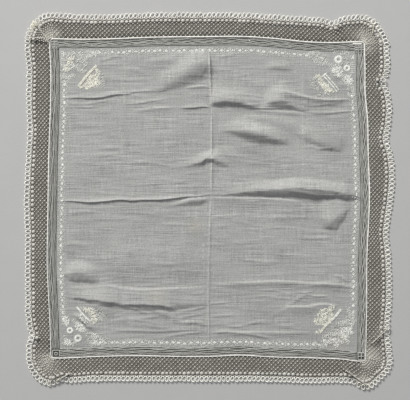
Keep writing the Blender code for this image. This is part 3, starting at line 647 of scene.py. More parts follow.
class Shape:
    """Gathers the vertices and faces of one mesh."""

    def __init__(self):
        self.points = []
        self.faces = []
        self.finishes = []
        self.count = 0

    def add(self, points, faces, finish=0):
        """Add a block of points with its faces, each face a row of indices."""
        points = np.asarray(points, float).reshape(-1, 3)
        faces = np.asarray(faces, int)
        self.points.append(points)
        self.faces.extend((faces + self.count).tolist())
        self.finishes.extend([finish] * len(faces))
        self.count += len(points)

    def tube(self, line, radius, sides=5, closed=False, flat=1.0, finish=0):
        """A tube along a line of points; flat below 1 lowers its height."""
        line = np.asarray(line, float)
        if closed:
            run = np.roll(line, -1, axis=0) - np.roll(line, 1, axis=0)
        else:
            run = np.gradient(line, axis=0)
        run /= np.linalg.norm(run, axis=1)[:, None]
        side = np.stack([-run[:, 1], run[:, 0], np.zeros(len(run))], axis=1)
        side /= np.maximum(np.linalg.norm(side, axis=1), 1e-9)[:, None]
        up = np.cross(run, side)
        radius = np.broadcast_to(np.asarray(radius, float), (len(line),))
        turn = 2 * np.pi * np.arange(sides) / sides
        ring = (
            side[:, None, :] * np.cos(turn)[None, :, None]
            + up[:, None, :] * (flat * np.sin(turn))[None, :, None]
        )
        points = line[:, None, :] + ring * radius[:, None, None]
        self.add(points, ring_faces(len(line), sides, closed)[:, ::-1], finish)
        if not closed:
            last = (len(line) - 1) * sides
            base = self.count - len(line) * sides
            self.faces.append([base + n for n in range(sides)])
            self.faces.append([base + last + n for n in range(sides)][::-1])
            self.finishes.extend([finish] * 2)

    def stamps(self, pattern, centres, axes, finish=0):
        """Copies of a small pattern; axes holds each copy's three scaled axes as rows."""
        points, faces = pattern
        centres = np.asarray(centres, float).reshape(-1, 3)
        placed = np.einsum("mk,nkl->nml", points, axes) + centres[:, None, :]
        shift = np.arange(len(centres))[:, None, None] * len(points)
        for size in (3, 4):
            chosen = np.array([face for face in faces if len(face) == size])
            if len(chosen):
                block = (chosen[None] + shift).reshape(-1, size) + self.count
                self.faces.extend(block.tolist())
                self.finishes.extend([finish] * len(block))
        self.points.append(placed.reshape(-1, 3))
        self.count += placed.shape[0] * placed.shape[1]

    def build(self, name, materials):
        """The finished object, in metres and in the frame."""
        mesh = bpy.data.meshes.new(name)
        mesh.from_pydata(to_metres(np.concatenate(self.points)).tolist(), [], self.faces)
        mesh.polygons.foreach_set("material_index", self.finishes)
        mesh.polygons.foreach_set("use_smooth", [True] * len(self.faces))
        for material in materials:
            mesh.materials.append(material)
        mesh.update()
        return show(name, mesh)


def to_metres(points):
    """From millimetres about the cloth's middle to metres in the frame."""
    moved = np.array(points, float)
    moved[:, :2] += BOX_SHIFT
    return moved * MM


def bead_pattern(sides=6, ring=0.864, height=0.62):
    """A small rounded bead of about unit radius: two rings and two poles."""
    points = [(0.0, 0.0, -1.0)]
    for level in (-height, height):
        for n in range(sides):
            turn = 2 * math.pi * n / sides
            points.append((ring * math.cos(turn), ring * math.sin(turn), level))
    points.append((0.0, 0.0, 1.0))
    top = len(points) - 1
    faces = []
    for n in range(sides):
        m = (n + 1) % sides
        faces.append((0, 1 + m, 1 + n))
        faces.append((1 + n, 1 + m, 1 + sides + m, 1 + sides + n))
        faces.append((top, 1 + sides + n, 1 + sides + m))
    return np.array(points), faces


BEAD = bead_pattern()
STITCH = (BEAD[0][:, [2, 0, 1]], BEAD[1])


def flat_axes(angle, length, width, height):
    """Axes of a stamp that lies flat, turned by an angle."""
    angle = np.asarray(angle, float)
    length, width, height = (
        np.broadcast_to(np.asarray(v, float), angle.shape) for v in (length, width, height)
    )
    axes = np.zeros(angle.shape + (3, 3))
    axes[..., 0, 0] = np.cos(angle) * length
    axes[..., 0, 1] = np.sin(angle) * length
    axes[..., 1, 0] = -np.sin(angle) * width
    axes[..., 1, 1] = np.cos(angle) * width
    axes[..., 2, 2] = height
    return axes


class Finish:
    """A procedural material, with short helpers for its nodes."""

    def __init__(self, name, roughness):
        self.material = bpy.data.materials.new(name)
        self.material.use_nodes = True
        self.tree = self.material.node_tree
        self.shader = self.tree.nodes["Principled BSDF"]
        self.shader.inputs["Roughness"].default_value = roughness
        self.shader.inputs["Specular IOR Level"].default_value = SPECULAR
        self.place = self.tree.nodes.new("ShaderNodeTexCoord").outputs["Object"]

    def node(self, kind, **settings):
        """A new node with its settings."""
        made = self.tree.nodes.new(kind)
        for key, value in settings.items():
            setattr(made, key, value)
        return made

    def link(self, source, target):
        """Join a socket to a target, or set a number on it."""
        if isinstance(source, (int, float)):
            target.default_value = source
        else:
            self.tree.links.new(source, target)

    def noise(self, stretch, detail=2.0):
        """Noise with its own scale along each axis, in repeats per metre."""
        mapping = self.node("ShaderNodeMapping")
        mapping.inputs["Scale"].default_value = stretch
        self.link(self.place, mapping.inputs["Vector"])
        noise = self.node("ShaderNodeTexNoise")
        noise.inputs["Scale"].default_value = 1.0
        noise.inputs["Detail"].default_value = detail
        self.link(mapping.outputs["Vector"], noise.inputs["Vector"])
        return noise.outputs["Fac"]

    def ramp(self, value, low, high, to_low, to_high):
        """A value mapped from one range to another, clamped."""
        made = self.node("ShaderNodeMapRange")
        for name, number in (
            ("From Min", low), ("From Max", high), ("To Min", to_low), ("To Max", to_high)
        ):
            made.inputs[name].default_value = number
        self.link(value, made.inputs["Value"])
        return made.outputs["Result"]

    def math(self, operation, first, second):
        """Arithmetic on two values."""
        made = self.node("ShaderNodeMath", operation=operation)
        self.link(first, made.inputs[0])
        self.link(second, made.inputs[1])
        return made.outputs["Value"]

    def sum_of(self, *parts):
        """The weighted sum of several values, each given with its weight."""
        total = None
        for value, weight in parts:
            term = self.math("MULTIPLY", value, weight)
            total = term if total is None else self.math("ADD", total, term)
        return total

    def mix(self, share, first, second):
        """Two colours mixed; a colour is a triple or a socket."""
        made = self.node("ShaderNodeMix", data_type="RGBA")
        self.link(share, made.inputs["Factor"])
        for colour, target in ((first, made.inputs["A"]), (second, made.inputs["B"])):
            if isinstance(colour, tuple):
                target.default_value = (*colour, 1.0)
            else:
                self.link(colour, target)
        return made.outputs["Result"]

    def spot(self, spot, strength=1.0):
        """How much a round place shows, falling from its share in the middle to 0."""
        place = (from_picture((spot.x, spot.y)) + BOX_SHIFT) * MM
        away = self.node("ShaderNodeVectorMath", operation="DISTANCE")
        self.link(self.place, away.inputs[0])
        away.inputs[1].default_value = (*place, MM)
        near = self.ramp(away.outputs["Value"], 0.0, spot.radius * MM, 1.0, 0.0)
        return self.math("MULTIPLY", near, spot.share * strength)

    def streak(self, line):
        """Painted highlight: light flecks along a straight pressed line, strongest on the line
        itself.
        """
        ends = (ends_of(line) + BOX_SHIFT) * MM
        pressed = Line(*ends)
        half = 0.5 * float(pressed.length)
        from_start = self.node("ShaderNodeVectorMath", operation="SUBTRACT")
        self.link(self.place, from_start.inputs[0])
        from_start.inputs[1].default_value = (*ends[0], 0.0)
        parts = []
        for way in (pressed.run, pressed.side):
            dot = self.node("ShaderNodeVectorMath", operation="DOT_PRODUCT")
            self.link(from_start.outputs["Vector"], dot.inputs[0])
            dot.inputs[1].default_value = (*way, 0.0)
            parts.append(dot.outputs["Value"])
        along = self.math("SUBTRACT", parts[0], half)
        inside = self.ramp(self.math("ABSOLUTE", along, 0.0), 0.92 * half, half, 1.0, 0.0)
        near = self.ramp(self.math("ABSOLUTE", parts[1], 0.0), 0.0, line.width * MM, 1.0, 0.0)
        flecks = self.ramp(self.noise((420, 420, 100), 1.0), 0.45, 0.65, 0.1, 1.0)
        return self.math("MULTIPLY", self.math("MULTIPLY", inside, near), flecks)

    def colour(self, source):
        """Give the surface its colour."""
        self.link(source, self.shader.inputs["Base Color"])

    def bump(self, height, strength, distance):
        """Give the surface its fine relief."""
        made = self.node("ShaderNodeBump")
        made.inputs["Strength"].default_value = strength
        made.inputs["Distance"].default_value = distance
        self.link(height, made.inputs["Height"])
        self.link(made.outputs["Normal"], self.shader.inputs["Normal"])


# Round places of a finish, across and down the picture, with how far each reaches and how
# much it shows: faint stains of the linen, places where the lace is gathered close and looks
# paler, places where its thread has yellowed, and open places of the band's corners,
# painted near black as shade.
Spot = namedtuple("Spot", "x y radius share")
STAINS = rows_of(Spot,
    (195, 226, 10, 0.25), (157, 297, 12, 0.25), (337, 341, 16, 0.25), (88, 78, 12, 0.25))
GATHERS = rows_of(Spot,
    (365, 41, 17, 0.9), (372, 356, 16, 0.7), (46, 364, 17, 0.7), (53, 37, 12, 0.9),
    (34, 26, 10, 0.9), (365, 382, 12, 0.8))
AGED = rows_of(Spot,
    (32, 26, 16, 1.0), (364, 384, 16, 1.0), (50, 378, 16, 0.5), (374, 24, 14, 0.6))
SHADED_OPENINGS = rows_of(Spot,
    (56.2, 353.8, 4.7, 1.0), (361.2, 356.2, 4.7, 1.0), (55, 45.5, 4.5, 0.5), (360, 49, 5.5, 0.6))
# Pressed lines of the linen with a painted highlight along them where light catches them, across
# and down the picture.
Streak = namedtuple("Streak", "x1 y1 x2 y2 width share")
STREAKS = rows_of(Streak,
    (209.0, 50.0, 211.2, 106.0, 1.1, 0.35), (211.8, 104.0, 211.4, 200.0, 1.1, 0.5),
    (210.4, 198.0, 208.8, 340.0, 1.3, 0.36), (203.6, 243.0, 203.6, 268.0, 0.9, 0.4),
    (125.0, 54.0, 124.0, 104.0, 1.1, 0.25), (302.6, 74.0, 302.6, 172.0, 1.0, 0.3))


def linen_finish():
    """Sheer linen: slubs both ways, faint stains, painted highlights along its pressed lines, and a
    see-through weave.
    """
    finish = Finish("sheer_linen", 0.82)
    patches = finish.noise((22, 34, 22), 3.0)
    weave = finish.noise((820, 820, 400), 2.0)
    calm = finish.ramp(finish.noise((30, 45, 30), 2.0), 0.38, 0.62, 0.45, 1.5)
    level = finish.math("SUBTRACT", finish.noise((34, 900, 40), 3.0), 0.5)
    level = finish.math("MULTIPLY", level, calm)
    upright = finish.math("SUBTRACT", finish.noise((850, 45, 40), 3.0), 0.5)
    upright = finish.math("MULTIPLY", upright, calm)
    tone = finish.sum_of((level, 0.38), (upright, 0.28), (patches, 0.2), (weave, 0.1))
    colour = finish.mix(
        finish.ramp(tone, -0.01, 0.31, 0.0, 1.0), (0.265, 0.266, 0.26), (0.465, 0.464, 0.455)
    )
    for stain in STAINS:
        colour = finish.mix(finish.spot(stain), colour, STAIN)
    # painted highlight along the pressed lines, where light catches them
    for line in STREAKS:
        share = finish.math("MULTIPLY", finish.streak(line), line.share)
        colour = finish.mix(share, colour, CREASE_HIGHLIGHT)
    finish.colour(colour)
    finish.link(finish.ramp(weave, 0.35, 0.65, 0.7, 0.9), finish.shader.inputs["Alpha"])
    finish.shader.inputs["Sheen Weight"].default_value = SHEEN
    finish.bump(finish.sum_of((level, 1.0), (upright, 0.55)), 0.65, 0.0005)
    return finish.material


def gauze_finish(name, dark, light, cells, clear, solid, spots, spot_colour):
    """Fine crossing threads, their dark colour painted shade, see-through between them."""
    finish = Finish(name, 0.9)
    cross = finish.noise((cells, cells, 40))
    patches = finish.noise((40, 40, 40))
    tone = finish.sum_of((cross, 0.7), (patches, 0.3))
    colour = finish.mix(finish.ramp(tone, 0.3, 0.7, 0.0, 1.0), dark, light)
    cover = finish.ramp(cross, 0.3, 0.7, clear, solid)
    for spot in spots:
        share = finish.spot(spot)
        colour = finish.mix(share, colour, spot_colour)
        cover = finish.math("MAXIMUM", cover, finish.ramp(share, 0.1, 0.4, 0.0, 1.0))
    finish.colour(colour)
    finish.link(cover, finish.shader.inputs["Alpha"])
    finish.bump(cross, 0.3, 0.0003)
    return finish.material


def thread_finish(name, dark, light, aged=None, spots=(), strength=1.0):
    """Cotton thread with fibres along it, paler or yellower at some places."""
    finish = Finish(name, 0.8)
    fibres = finish.noise((1400, 1400, 900), 3.0)
    patches = finish.noise((160, 160, 160), 2.0)
    tone = finish.sum_of((fibres, 0.5), (patches, 0.5))
    colour = finish.mix(finish.ramp(tone, 0.34, 0.66, 0.0, 1.0), dark, light)
    for spot in spots:
        colour = finish.mix(finish.spot(spot, strength), colour, aged)
    finish.colour(colour)
    finish.shader.inputs["Sheen Weight"].default_value = SHEEN
    finish.bump(fibres, 0.3, 0.0002)
    return finish.material


def floor_finish():
    """A plain pale floor."""
    finish = Finish("pale_floor", 0.9)
    grain = finish.noise((60, 60, 60), 2.0)
    finish.colour(finish.mix(grain, (0.375, 0.375, 0.372), (0.39, 0.39, 0.386)))
    return finish.material


def stations(zones, coarse):
    """Lines across the linen from -1 to 1, closer together inside each zone."""
    at = [-HALF_SIDE]
    while at[-1] < HALF_SIDE:
        step = coarse
        for low, high, fine in zones:
            if low <= at[-1] <= high:
                step = min(step, fine)
        at.append(at[-1] + step)
    at = np.array(at)
    return 2 * (at - at[0]) / (at[-1] - at[0]) - 1


def rounded_corner(points):
    """Pull the four corners of the linen in to the hem's radius."""
    for sign in CORNER_SIGNS:
        middle = cloth_points(sign[0], sign[1]) - HEM_CORNER * sign
        away = points - middle
        beyond = np.all(away * sign > 0, axis=-1)
        reach = np.linalg.norm(away, axis=-1)
        outside = beyond & (reach > HEM_CORNER)
        pulled = middle + away * (HEM_CORNER / np.maximum(reach, 1e-6))[..., None]
        points = np.where(outside[..., None], pulled, points)
    return points


# Places where the linen's mesh is finer: from, to and step, up it and across it.
LEVEL_ZONES = [
    (115, 149, 1.1), (86, 115, 0.6), (48, 70, 1.0), (31, 43, 0.7), (-5, 15, 0.55),
    (-30, -5, 1.1), (-90, -71, 0.8), (-111, -90, 0.65), (-139, -111, 0.9),
]
UPRIGHT_ZONES = [(-7, -3, 1.0), (-3, 5.5, 0.6), (118, 140, 1.8), (-142, -116, 2.2)]


def linen_cloth(finishes):
    """The linen: one thin closed sheet that follows the folds and wrinkles."""
    a = stations(UPRIGHT_ZONES, COARSE_ACROSS)
    b = stations(LEVEL_ZONES, COARSE_UP)
    grid_a, grid_b = np.meshgrid(a, b, indexing="ij")
    flat = rounded_corner(cloth_points(grid_a, grid_b))
    x, y = flat[..., 0], flat[..., 1]
    under = wrinkled_lift(x, y)
    rows, columns = under.shape
    index = np.arange(rows * columns).reshape(rows, columns)
    quads = np.stack(
        [index[:-1, :-1], index[1:, :-1], index[1:, 1:], index[:-1, 1:]], axis=-1
    ).reshape(-1, 4)
    in_from_hem = [(1 - way) * HALF_SIDE for way in (grid_b, grid_a, -grid_b, -grid_a)]
    into = np.min([depth - width for depth, width in zip(in_from_hem, BAND_WIDTHS)], axis=0)
    in_band = (into[:-1, :-1] + into[1:, 1:]).ravel() < 0
    shape = Shape()
    shape.add(np.stack([x, y, under], axis=-1), quads[:, ::-1])
    shape.add(np.stack([x, y, under + CLOTH_THICK], axis=-1), quads)
    # the band's faces and the rim take the second finish, dark with painted shade
    marks = in_band.astype(int).tolist()
    shape.finishes = marks + marks
    loop = np.concatenate([index[0, :-1], index[:-1, -1], index[-1, :0:-1], index[:0:-1, 0]])
    ahead = np.roll(loop, -1)
    top = rows * columns
    rim = np.stack([loop, ahead, ahead + top, loop + top], axis=-1)
    shape.faces.extend(rim.tolist())
    shape.finishes.extend([1] * len(rim))
    return shape.build("linen_cloth", finishes)


def rolled_hem(finish):
    """The bright rolled hem, beaded by its small whipped stitches."""
    travel = np.linspace(0, ROUND, HEM_STEPS, endpoint=False)
    foot, out = spokes(travel)
    keep = [0]
    for n in range(1, len(travel)):
        if np.hypot(*(foot[n] - foot[keep[-1]])) > HEM_STITCH:
            keep.append(n)
    foot, out = foot[keep], out[keep]
    centre = foot - out * HEM_RADIUS * HEM_INSET
    z = lift(centre[:, 0], centre[:, 1]) + HEM_RADIUS
    n = np.arange(len(keep))
    radius = HEM_RADIUS * (1 + 0.12 * np.sin(n * np.pi * 0.5) + 0.06 * np.sin(n * 0.37))
    radius = radius * (1 - HEM_FINER * np.clip(-centre[:, 1] / 120, 0, 1))
    shape = Shape()
    shape.tube(raised(centre, z), radius, sides=7, closed=True)
    return shape.build("rolled_hem", [finish])


def side_places(k, along, depth):
    """Places on the linen beside one side, measured in from its hem."""
    t = np.asarray(along, float) / HALF_SIDE
    inner = np.broadcast_to(1 - np.asarray(depth, float) / HALF_SIDE, t.shape)
    a = np.choose(k, [t, inner, -t, -inner])
    b = np.choose(k, [inner, -t, -inner, t])
    return cloth_points(a, b)


def drawn_threads(finish):
    """Threads left in the drawn-thread band, a little wavy and bunched."""
    shape = Shape()
    for k in range(4):
        along = np.linspace(*BAND_RUNS[k], BAND_STATIONS)
        for n in range(BAND_THREADS):
            draw = np.random.default_rng(100 * k + n)
            drift = np.zeros(len(along))
            for length in BAND_WAVES:
                turn = 2 * np.pi * along / length + draw.uniform(0, 6.3)
                drift += draw.normal(0, BAND_DRIFT) * np.sin(turn)
            depth = BAND_FIRST + n * (BAND_WIDTHS[k] - 2.0) / (BAND_THREADS - 1)
            depth = np.clip(depth + drift, BAND_LEAST, BAND_WIDTHS[k] - BAND_EDGE)
            place = side_places(k, along, depth)
            z = lift(place[:, 0], place[:, 1]) + CLOTH_THICK + BAND_RISE + BAND_CROSS * (k % 2)
            shape.tube(raised(place, z), draw.uniform(*BAND_RADII), flat=0.5)
    return shape.build("drawn_threads", [finish])


# A square's two outlines, one inside the other: place, start and end as shares of its side.
NESTED = [(0, 0, 1), (1, 0, 1), (0.32, 0.32, 0.68), (0.68, 0.32, 0.68)]
# Squares in picture millimetres, with "cells" to a side. A square with none has NESTED lines.
Square = namedtuple("Square", "x1 x2 y1 y2 cells bright")
SQUARES = rows_of(Square,
    (51.0, 58.5, 42.0, 48.5, 2, 0), (355.0, 364.5, 45.6, 52.5, 3, 0),
    (358.0, 364.4, 352.6, 359.8, 2, 1), (52.8, 59.6, 350.2, 357.2, 0, 1))


def corner_squares(finishes):
    """Small open squares worked where the bands cross, bright at the two lower corners."""
    shape = Shape()
    for square in SQUARES:
        corner = np.array([square.x1, square.y1])
        size = np.array([square.x2, square.y2]) - corner
        spans = [(n / square.cells, 0, 1) for n in range(square.cells + 1) if square.cells]
        lines = []
        for place, start, end in spans or NESTED:
            lines.append([(place, start), (place, end)])
            lines.append([(start, place), (end, place)])
        for line in lines:
            fine = from_picture(straight(*(corner + np.array(line, float) * size), 6))
            z = np.full(len(fine), CLOTH_THICK + SQUARE_RISE)
            shape.tube(raised(fine, z), SQUARE_LINE, flat=0.6, finish=square.bright)
    return shape.build("corner_squares", finishes)


def net_columns():
    """Column numbers of the lace, from its start round to its end under the start."""
    return REPEATS + int((LAP_TURN - LAP_START) / 90 * CORNER_RUN / PITCH)


def shaded_net_ground(finish):
    """The fine ground of the net, one thin closed strip from the hem to the rings, dark as painted
    shade in the net's gaps.
    """
    shape = Shape()
    count = net_columns() * 2 + 1
    travel = START + np.arange(count) * PITCH / 2
    width = lace_width(travel)
    inner, outer = GROUND_EDGE, HEADER_PLACE - GROUND_EDGE
    low, high = [], []
    for share in np.linspace(0, 1, GROUND_COLUMNS):
        offset = inner + (width - outer - inner) * share
        low.append(lace_places(travel, offset, GROUND_LOW))
        high.append(lace_places(travel, offset, GROUND_HIGH))
    section = np.array(low + high[::-1]).transpose(1, 0, 2)
    ring = section.shape[1]
    shape.add(section.reshape(-1, 3), ring_faces(count, ring))
    last = (count - 1) * ring
    half = ring // 2
    for base, way in ((0, 1), (last, -1)):
        for n in range(half - 1):
            face = [base + n, base + ring - 1 - n, base + ring - 2 - n, base + n + 1]
            shape.faces.append(face[::way])
            shape.finishes.append(0)
    return shape.build("shaded_net_ground", [finish])


def add_bars(shape, first, second, radius, finish):
    """Straight four-sided threads between pairs of points."""
    run = second - first
    length = np.linalg.norm(run, axis=1)
    run = run / length[:, None]
    side = np.stack([-run[:, 1], run[:, 0], np.zeros(len(run))], axis=1)
    side /= np.linalg.norm(side, axis=1)[:, None]
    up = np.cross(run, side)
    axes = np.stack([run * length[:, None], side * radius, up * radius], axis=1)
    ring = [(0, 1, 0), (0, 0, 1), (0, -1, 0), (0, 0, -1)]
    points = np.array(ring + [(1, v, w) for _, v, w in ring], float)
    faces = [(n, 4 + n, 4 + (n + 1) % 4, (n + 1) % 4) for n in range(4)]
    shape.stamps((points, faces), first, axes, finish)


# Seams and tucked edges of the lace, in millimetres across and down the picture.
Seam = namedtuple("Seam", "x1 y1 x2 y2 rise radius knots finish")
SEAMS = rows_of(Seam,
    (36.0, 25.0, 48.5, 40.0, 2.4, 0.5, True, 3), (25.5, 38.4, 45.5, 38.0, 2.0, 0.34, False, 0),
    (33.4, 21.6, 37.6, 27.6, 2.5, 1.1, True, 0), (32.0, 24.5, 34.6, 30.0, 2.3, 0.8, True, 0),
    (57.0, 380.5, 70.5, 372.6, 2.1, 0.42, True, 0),
    (346.0, 370.0, 366.5, 385.0, 2.2, 0.55, True, 3),
    (371.5, 343.0, 389.0, 326.5, 2.2, 0.42, False, 0),
    (373.5, 24.5, 372.5, 33.0, 1.9, 0.42, True, 0))


def net_threads(finishes):
    """The net's bars and knots, its row of dots, and the cord that the rings stand on."""
    shape = Shape()
    columns = net_columns()
    draw = np.random.default_rng(3)
    number = np.arange(columns + 1)
    grid = []
    for row in range(NET_ROWS + 1):
        travel = START + (number + 0.5 * (row % 2)) * PITCH
        depth = lace_width(travel) - DOT_PLACE
        out = NET_FIRST + (depth - NET_FIRST) * row / NET_ROWS
        places = lace_places(travel, out, NET_RISE)
        places[:, :2] += draw.normal(0, KNOT_DRIFT, (columns + 1, 2))
        places[:, 2] += draw.uniform(0, KNOT_LIFT, columns + 1)
        grid.append(places)
    for row in range(NET_ROWS):
        low, high = grid[row], grid[row + 1]
        pairs = [(low[:-1], high[:-1])]
        pairs.append((low[1:], high[:-1]) if row % 2 == 0 else (low[:-1], high[1:]))
        for first, second in pairs:
            add_bars(shape, first, second, NET_BAR, finish=1)
        size = draw.uniform(*KNOT_SIZES, columns + 1)
        angle = draw.uniform(0, np.pi, columns + 1)
        shape.stamps(BEAD, low, flat_axes(angle, size, size * 0.85, KNOT_TALL), finish=0)
    travel = START + (number + 0.5 * (NET_ROWS % 2)) * PITCH
    _, out = spokes(travel)
    angle = np.arctan2(out[:, 1], out[:, 0]) + draw.normal(0, 0.12, columns + 1)
    size = draw.uniform(0.8, 1.1, columns + 1)
    dots = grid[NET_ROWS] + np.array([0, 0, DOT_RISE])
    axes = flat_axes(angle, DOT_OUT * size, DOT_ALONG * size, DOT_TALL)
    shape.stamps(BEAD, dots, axes, finish=3)
    for place, radius in ((DOT_PLACE, DOT_CORD), (HEADER_PLACE, HEADER_CORD)):
        line = START + np.arange((columns + 1) * 2) * PITCH / 2
        shape.tube(lace_places(line, lace_width(line) - place, NET_RISE), radius, finish=1)
    for way in (-0.5, 0.5):
        near = travel + way * PITCH
        foot = lace_places(near, lace_width(near) - HEADER_PLACE, NET_RISE)
        add_bars(shape, dots, foot, DOT_TIE, finish=1)
    for seam in SEAMS:
        ends = ends_of(seam)
        count = max(3, int(np.hypot(*(ends[1] - ends[0])) / 1.5))
        line = straight(*ends, count)
        line = raised(line, lift(line[:, 0], line[:, 1]) + seam.rise)
        shape.tube(line, seam.radius, finish=seam.finish)
        if seam.knots:
            size = draw.uniform(0.8, 1.05, count)
            turn = draw.uniform(0, np.pi, count)
            axes = flat_axes(turn, size, size * 0.8, height=0.55)
            shape.stamps(BEAD, line, axes, finish=seam.finish)
    return shape.build("net_threads", finishes)


def ring_loops(finish):
    """The looped edging: worked oval rings that lean and lie a little over each other."""
    draw = np.random.default_rng(11)
    number = np.arange(REPEATS)
    middle = START + (number + 0.5) * PITCH
    turn = 2 * np.pi * np.arange(RING_POINTS) / RING_POINTS
    shape = Shape()
    tall = RING_TALL * (1 + draw.normal(0, TALL_VARIES, REPEATS))
    wide = RING_WIDE * (1 + draw.normal(0, WIDE_VARIES, REPEATS))
    lean = RING_LEAN + draw.normal(0, LEAN_VARIES, REPEATS)
    shift = draw.normal(0, SHIFT_VARIES, REPEATS)
    for n in number:
        u = wide[n] * np.sin(turn)
        v = tall[n] * np.cos(turn)
        aside = u * math.cos(lean[n]) + v * math.sin(lean[n])
        ahead = v * math.cos(lean[n]) - u * math.sin(lean[n])
        offset = lace_width(middle[n]) - RING_CENTRE + shift[n] + ahead
        rise = RING_RISE - RING_TIP * np.sin(turn) + 0.12 * np.cos(2 * turn)
        line = ring_places(middle[n], aside, offset, rise)
        shape.tube(line, RING_THREAD * (1 + 0.05 * np.cos(3 * turn)), sides=6, closed=True)
    base = middle - 0.5 * RING_LEAN
    for way in (-LEG_TOP, LEG_TOP):
        top = ring_places(base, way, lace_width(middle) - RING_CENTRE - 0.8 * RING_TALL, 0.7)
        foot_at = base + way * LEG_FOOT
        foot = lace_places(foot_at, lace_width(foot_at) - HEADER_PLACE - 0.3, NET_RISE)
        add_bars(shape, top, foot, LEG_THREAD, finish=0)
    return shape.build("ring_loops", [finish])


def ring_places(travel, aside, offset, rise):
    """Points beside one spoke, so that a ring keeps its shape round a corner."""
    travel, aside, offset, rise = np.broadcast_arrays(travel, aside, offset, rise)
    points = lace_places(travel, offset, rise)
    _, out = spokes(travel)
    points[..., 0] += out[..., 1] * aside
    points[..., 1] -= out[..., 0] * aside
    return points


def on_cloth(place, rise):
    """Points resting on the linen."""
    place = np.asarray(place, float)
    return raised(place, wrinkled_lift(place[..., 0], place[..., 1]) + CLOTH_THICK + rise)


# Stitches of each dot of the vine and round it: along it, aside from it, turn, length,
# width and finish.
Leaf = namedtuple("Leaf", "ahead aside turn length width finish")
LEAVES = rows_of(Leaf,
    (-1.3, 0.0, 1.57, 0.9, 0.42, 0), (-0.7, 0.0, 1.57, 1.5, 0.42, 0),
    (0.0, 0.0, 1.57, 1.9, 0.42, 0), (0.7, 0.0, 1.57, 1.5, 0.42, 0), (1.3, 0.0, 1.57, 0.9, 0.42, 0),
    (2.8, 1.3, 1.2, 1.1, 0.38, 0), (2.8, -1.3, -1.2, 1.1, 0.38, 0),
    (-2.6, 1.4, -1.2, 1.1, 0.38, 1), (-2.6, -1.4, 1.2, 1.1, 0.38, 1), (1.3, 2.4, 0.7, 1.0, 0.4, 1),
    (-1.3, 2.5, -0.7, 1.0, 0.4, 1), (1.3, -2.4, -0.7, 1.0, 0.4, 1), (-1.3, -2.5, 0.7, 1.0, 0.4, 1),
    (2.8, 3.2, 0.2, 0.9, 0.36, 1), (2.8, -3.2, -0.2, 0.9, 0.36, 1))


def vine_border(finishes):
    """The dotted vine round the linen: a dot in each repeat with leaf stitches beside it."""
    shape = Shape()
    draw = np.random.default_rng(5)
    for k in range(4):
        heading = -np.pi / 2 * k
        along = np.arange(*VINE_RUNS[k], VINE_PITCH)
        along = along + draw.normal(0, VINE_DRIFT, len(along))
        depth = VINE_PLACES[k] + draw.normal(0, VINE_STRAY, len(along))
        for leaf in LEAVES:
            loose = DOT_LOOSE if leaf.aside == 0 else LEAF_LOOSE
            some = draw.uniform(0, 1, len(along)) < 1.02 - loose
            at = along + leaf.ahead + draw.normal(0, loose, len(along))
            away = depth - leaf.aside + draw.normal(0, loose, len(along))
            angle = heading + leaf.turn + draw.normal(0, 1.2 * loose, len(along))
            length = leaf.length * draw.uniform(0.75, 1.15, len(along))
            axes = flat_axes(angle, length, leaf.width, VINE_TALL)
            spots = on_cloth(side_places(k, at, away), VINE_RISE)
            shape.stamps(STITCH, spots[some], axes[some], finish=leaf.finish)
    return shape.build("vine_border", finishes)


# Stitches of a satin leaf: how far they are scattered, in its half sizes, how ragged its
# outline is, the turns of its slanting rows in radians, and its stitches' sizes and rises.
SATIN_REACH = 1.1
SATIN_RAGGED = (0.7, 1.3)
SATIN_ROWS, SATIN_SLANT = 2.1, 0.55
SATIN_SIZES, SATIN_RISES = (0.8, 1.8), (0.02, 0.22)
TURN_VARIES = 0.35
STEM_RISE = 0.15
LEAF_ASIDE, LEAF_TURN, LEAF_RISE = 1.3, 0.8, 0.06   # the small leaves beside a stem
PETAL_PLACE, PETAL_SIZES, PETAL_WIDE = 0.6, (0.32, 0.55), 0.2   # shares of the radius
EYELET_PLACE, EYELET_LONG = 0.62, 0.34
FLOWER_RISE = 0.1


def satin_body(shape, draw, blob):
    """A leaf of closely packed satin stitches with a ragged outline."""
    centre = from_picture((blob.x, blob.y))
    along = draw.uniform(-SATIN_REACH, SATIN_REACH, blob.stitches)
    aside = draw.uniform(-SATIN_REACH, SATIN_REACH, blob.stitches)
    kept = along**2 + aside**2 < draw.uniform(*SATIN_RAGGED, blob.stitches)
    along, aside = along[kept] * blob.length, aside[kept] * blob.width
    heading = math.radians(blob.degrees)
    run, side = ways(np.array([heading, heading + np.pi / 2]))
    spots = centre + np.outer(along, run) + np.outer(aside, side)
    slant = np.where(np.sin(along * SATIN_ROWS) > 0, SATIN_SLANT, -SATIN_SLANT)
    turn = heading + np.pi / 2 + slant
    turn = turn + draw.normal(0, TURN_VARIES, len(along))
    size = draw.uniform(*SATIN_SIZES, len(along))
    rise = draw.uniform(*SATIN_RISES, len(along))
    spots = on_cloth(spots, 0.0)
    spots[:, 2] += rise
    axes = flat_axes(turn, size, width=0.36, height=0.16)
    shape.stamps(STITCH, spots, axes, finish=blob.finish)


def stem(shape, draw, start, end, bow, spread, length, width, slope=0.0, finish=0):
    """A curved row of short slanting stitches."""
    start, end = np.array(start, float), np.array(end, float)
    run = end - start
    reach = np.hypot(*run)
    heading = math.atan2(run[1], run[0])
    side = np.array([-run[1], run[0]]) / reach
    count = max(3, int(reach / spread))
    share = (np.arange(count) + 0.5) / count
    line = start + np.outer(share, run) + np.outer(4 * bow * share * (1 - share), side)
    turn = heading + np.arctan(4 * bow * (1 - 2 * share) / reach)
    slant = turn + slope + draw.normal(0, 0.15, count)
    axes = flat_axes(slant, length, width, height=0.24)
    shape.stamps(STITCH, on_cloth(line, STEM_RISE), axes, finish)
    return line, turn, side


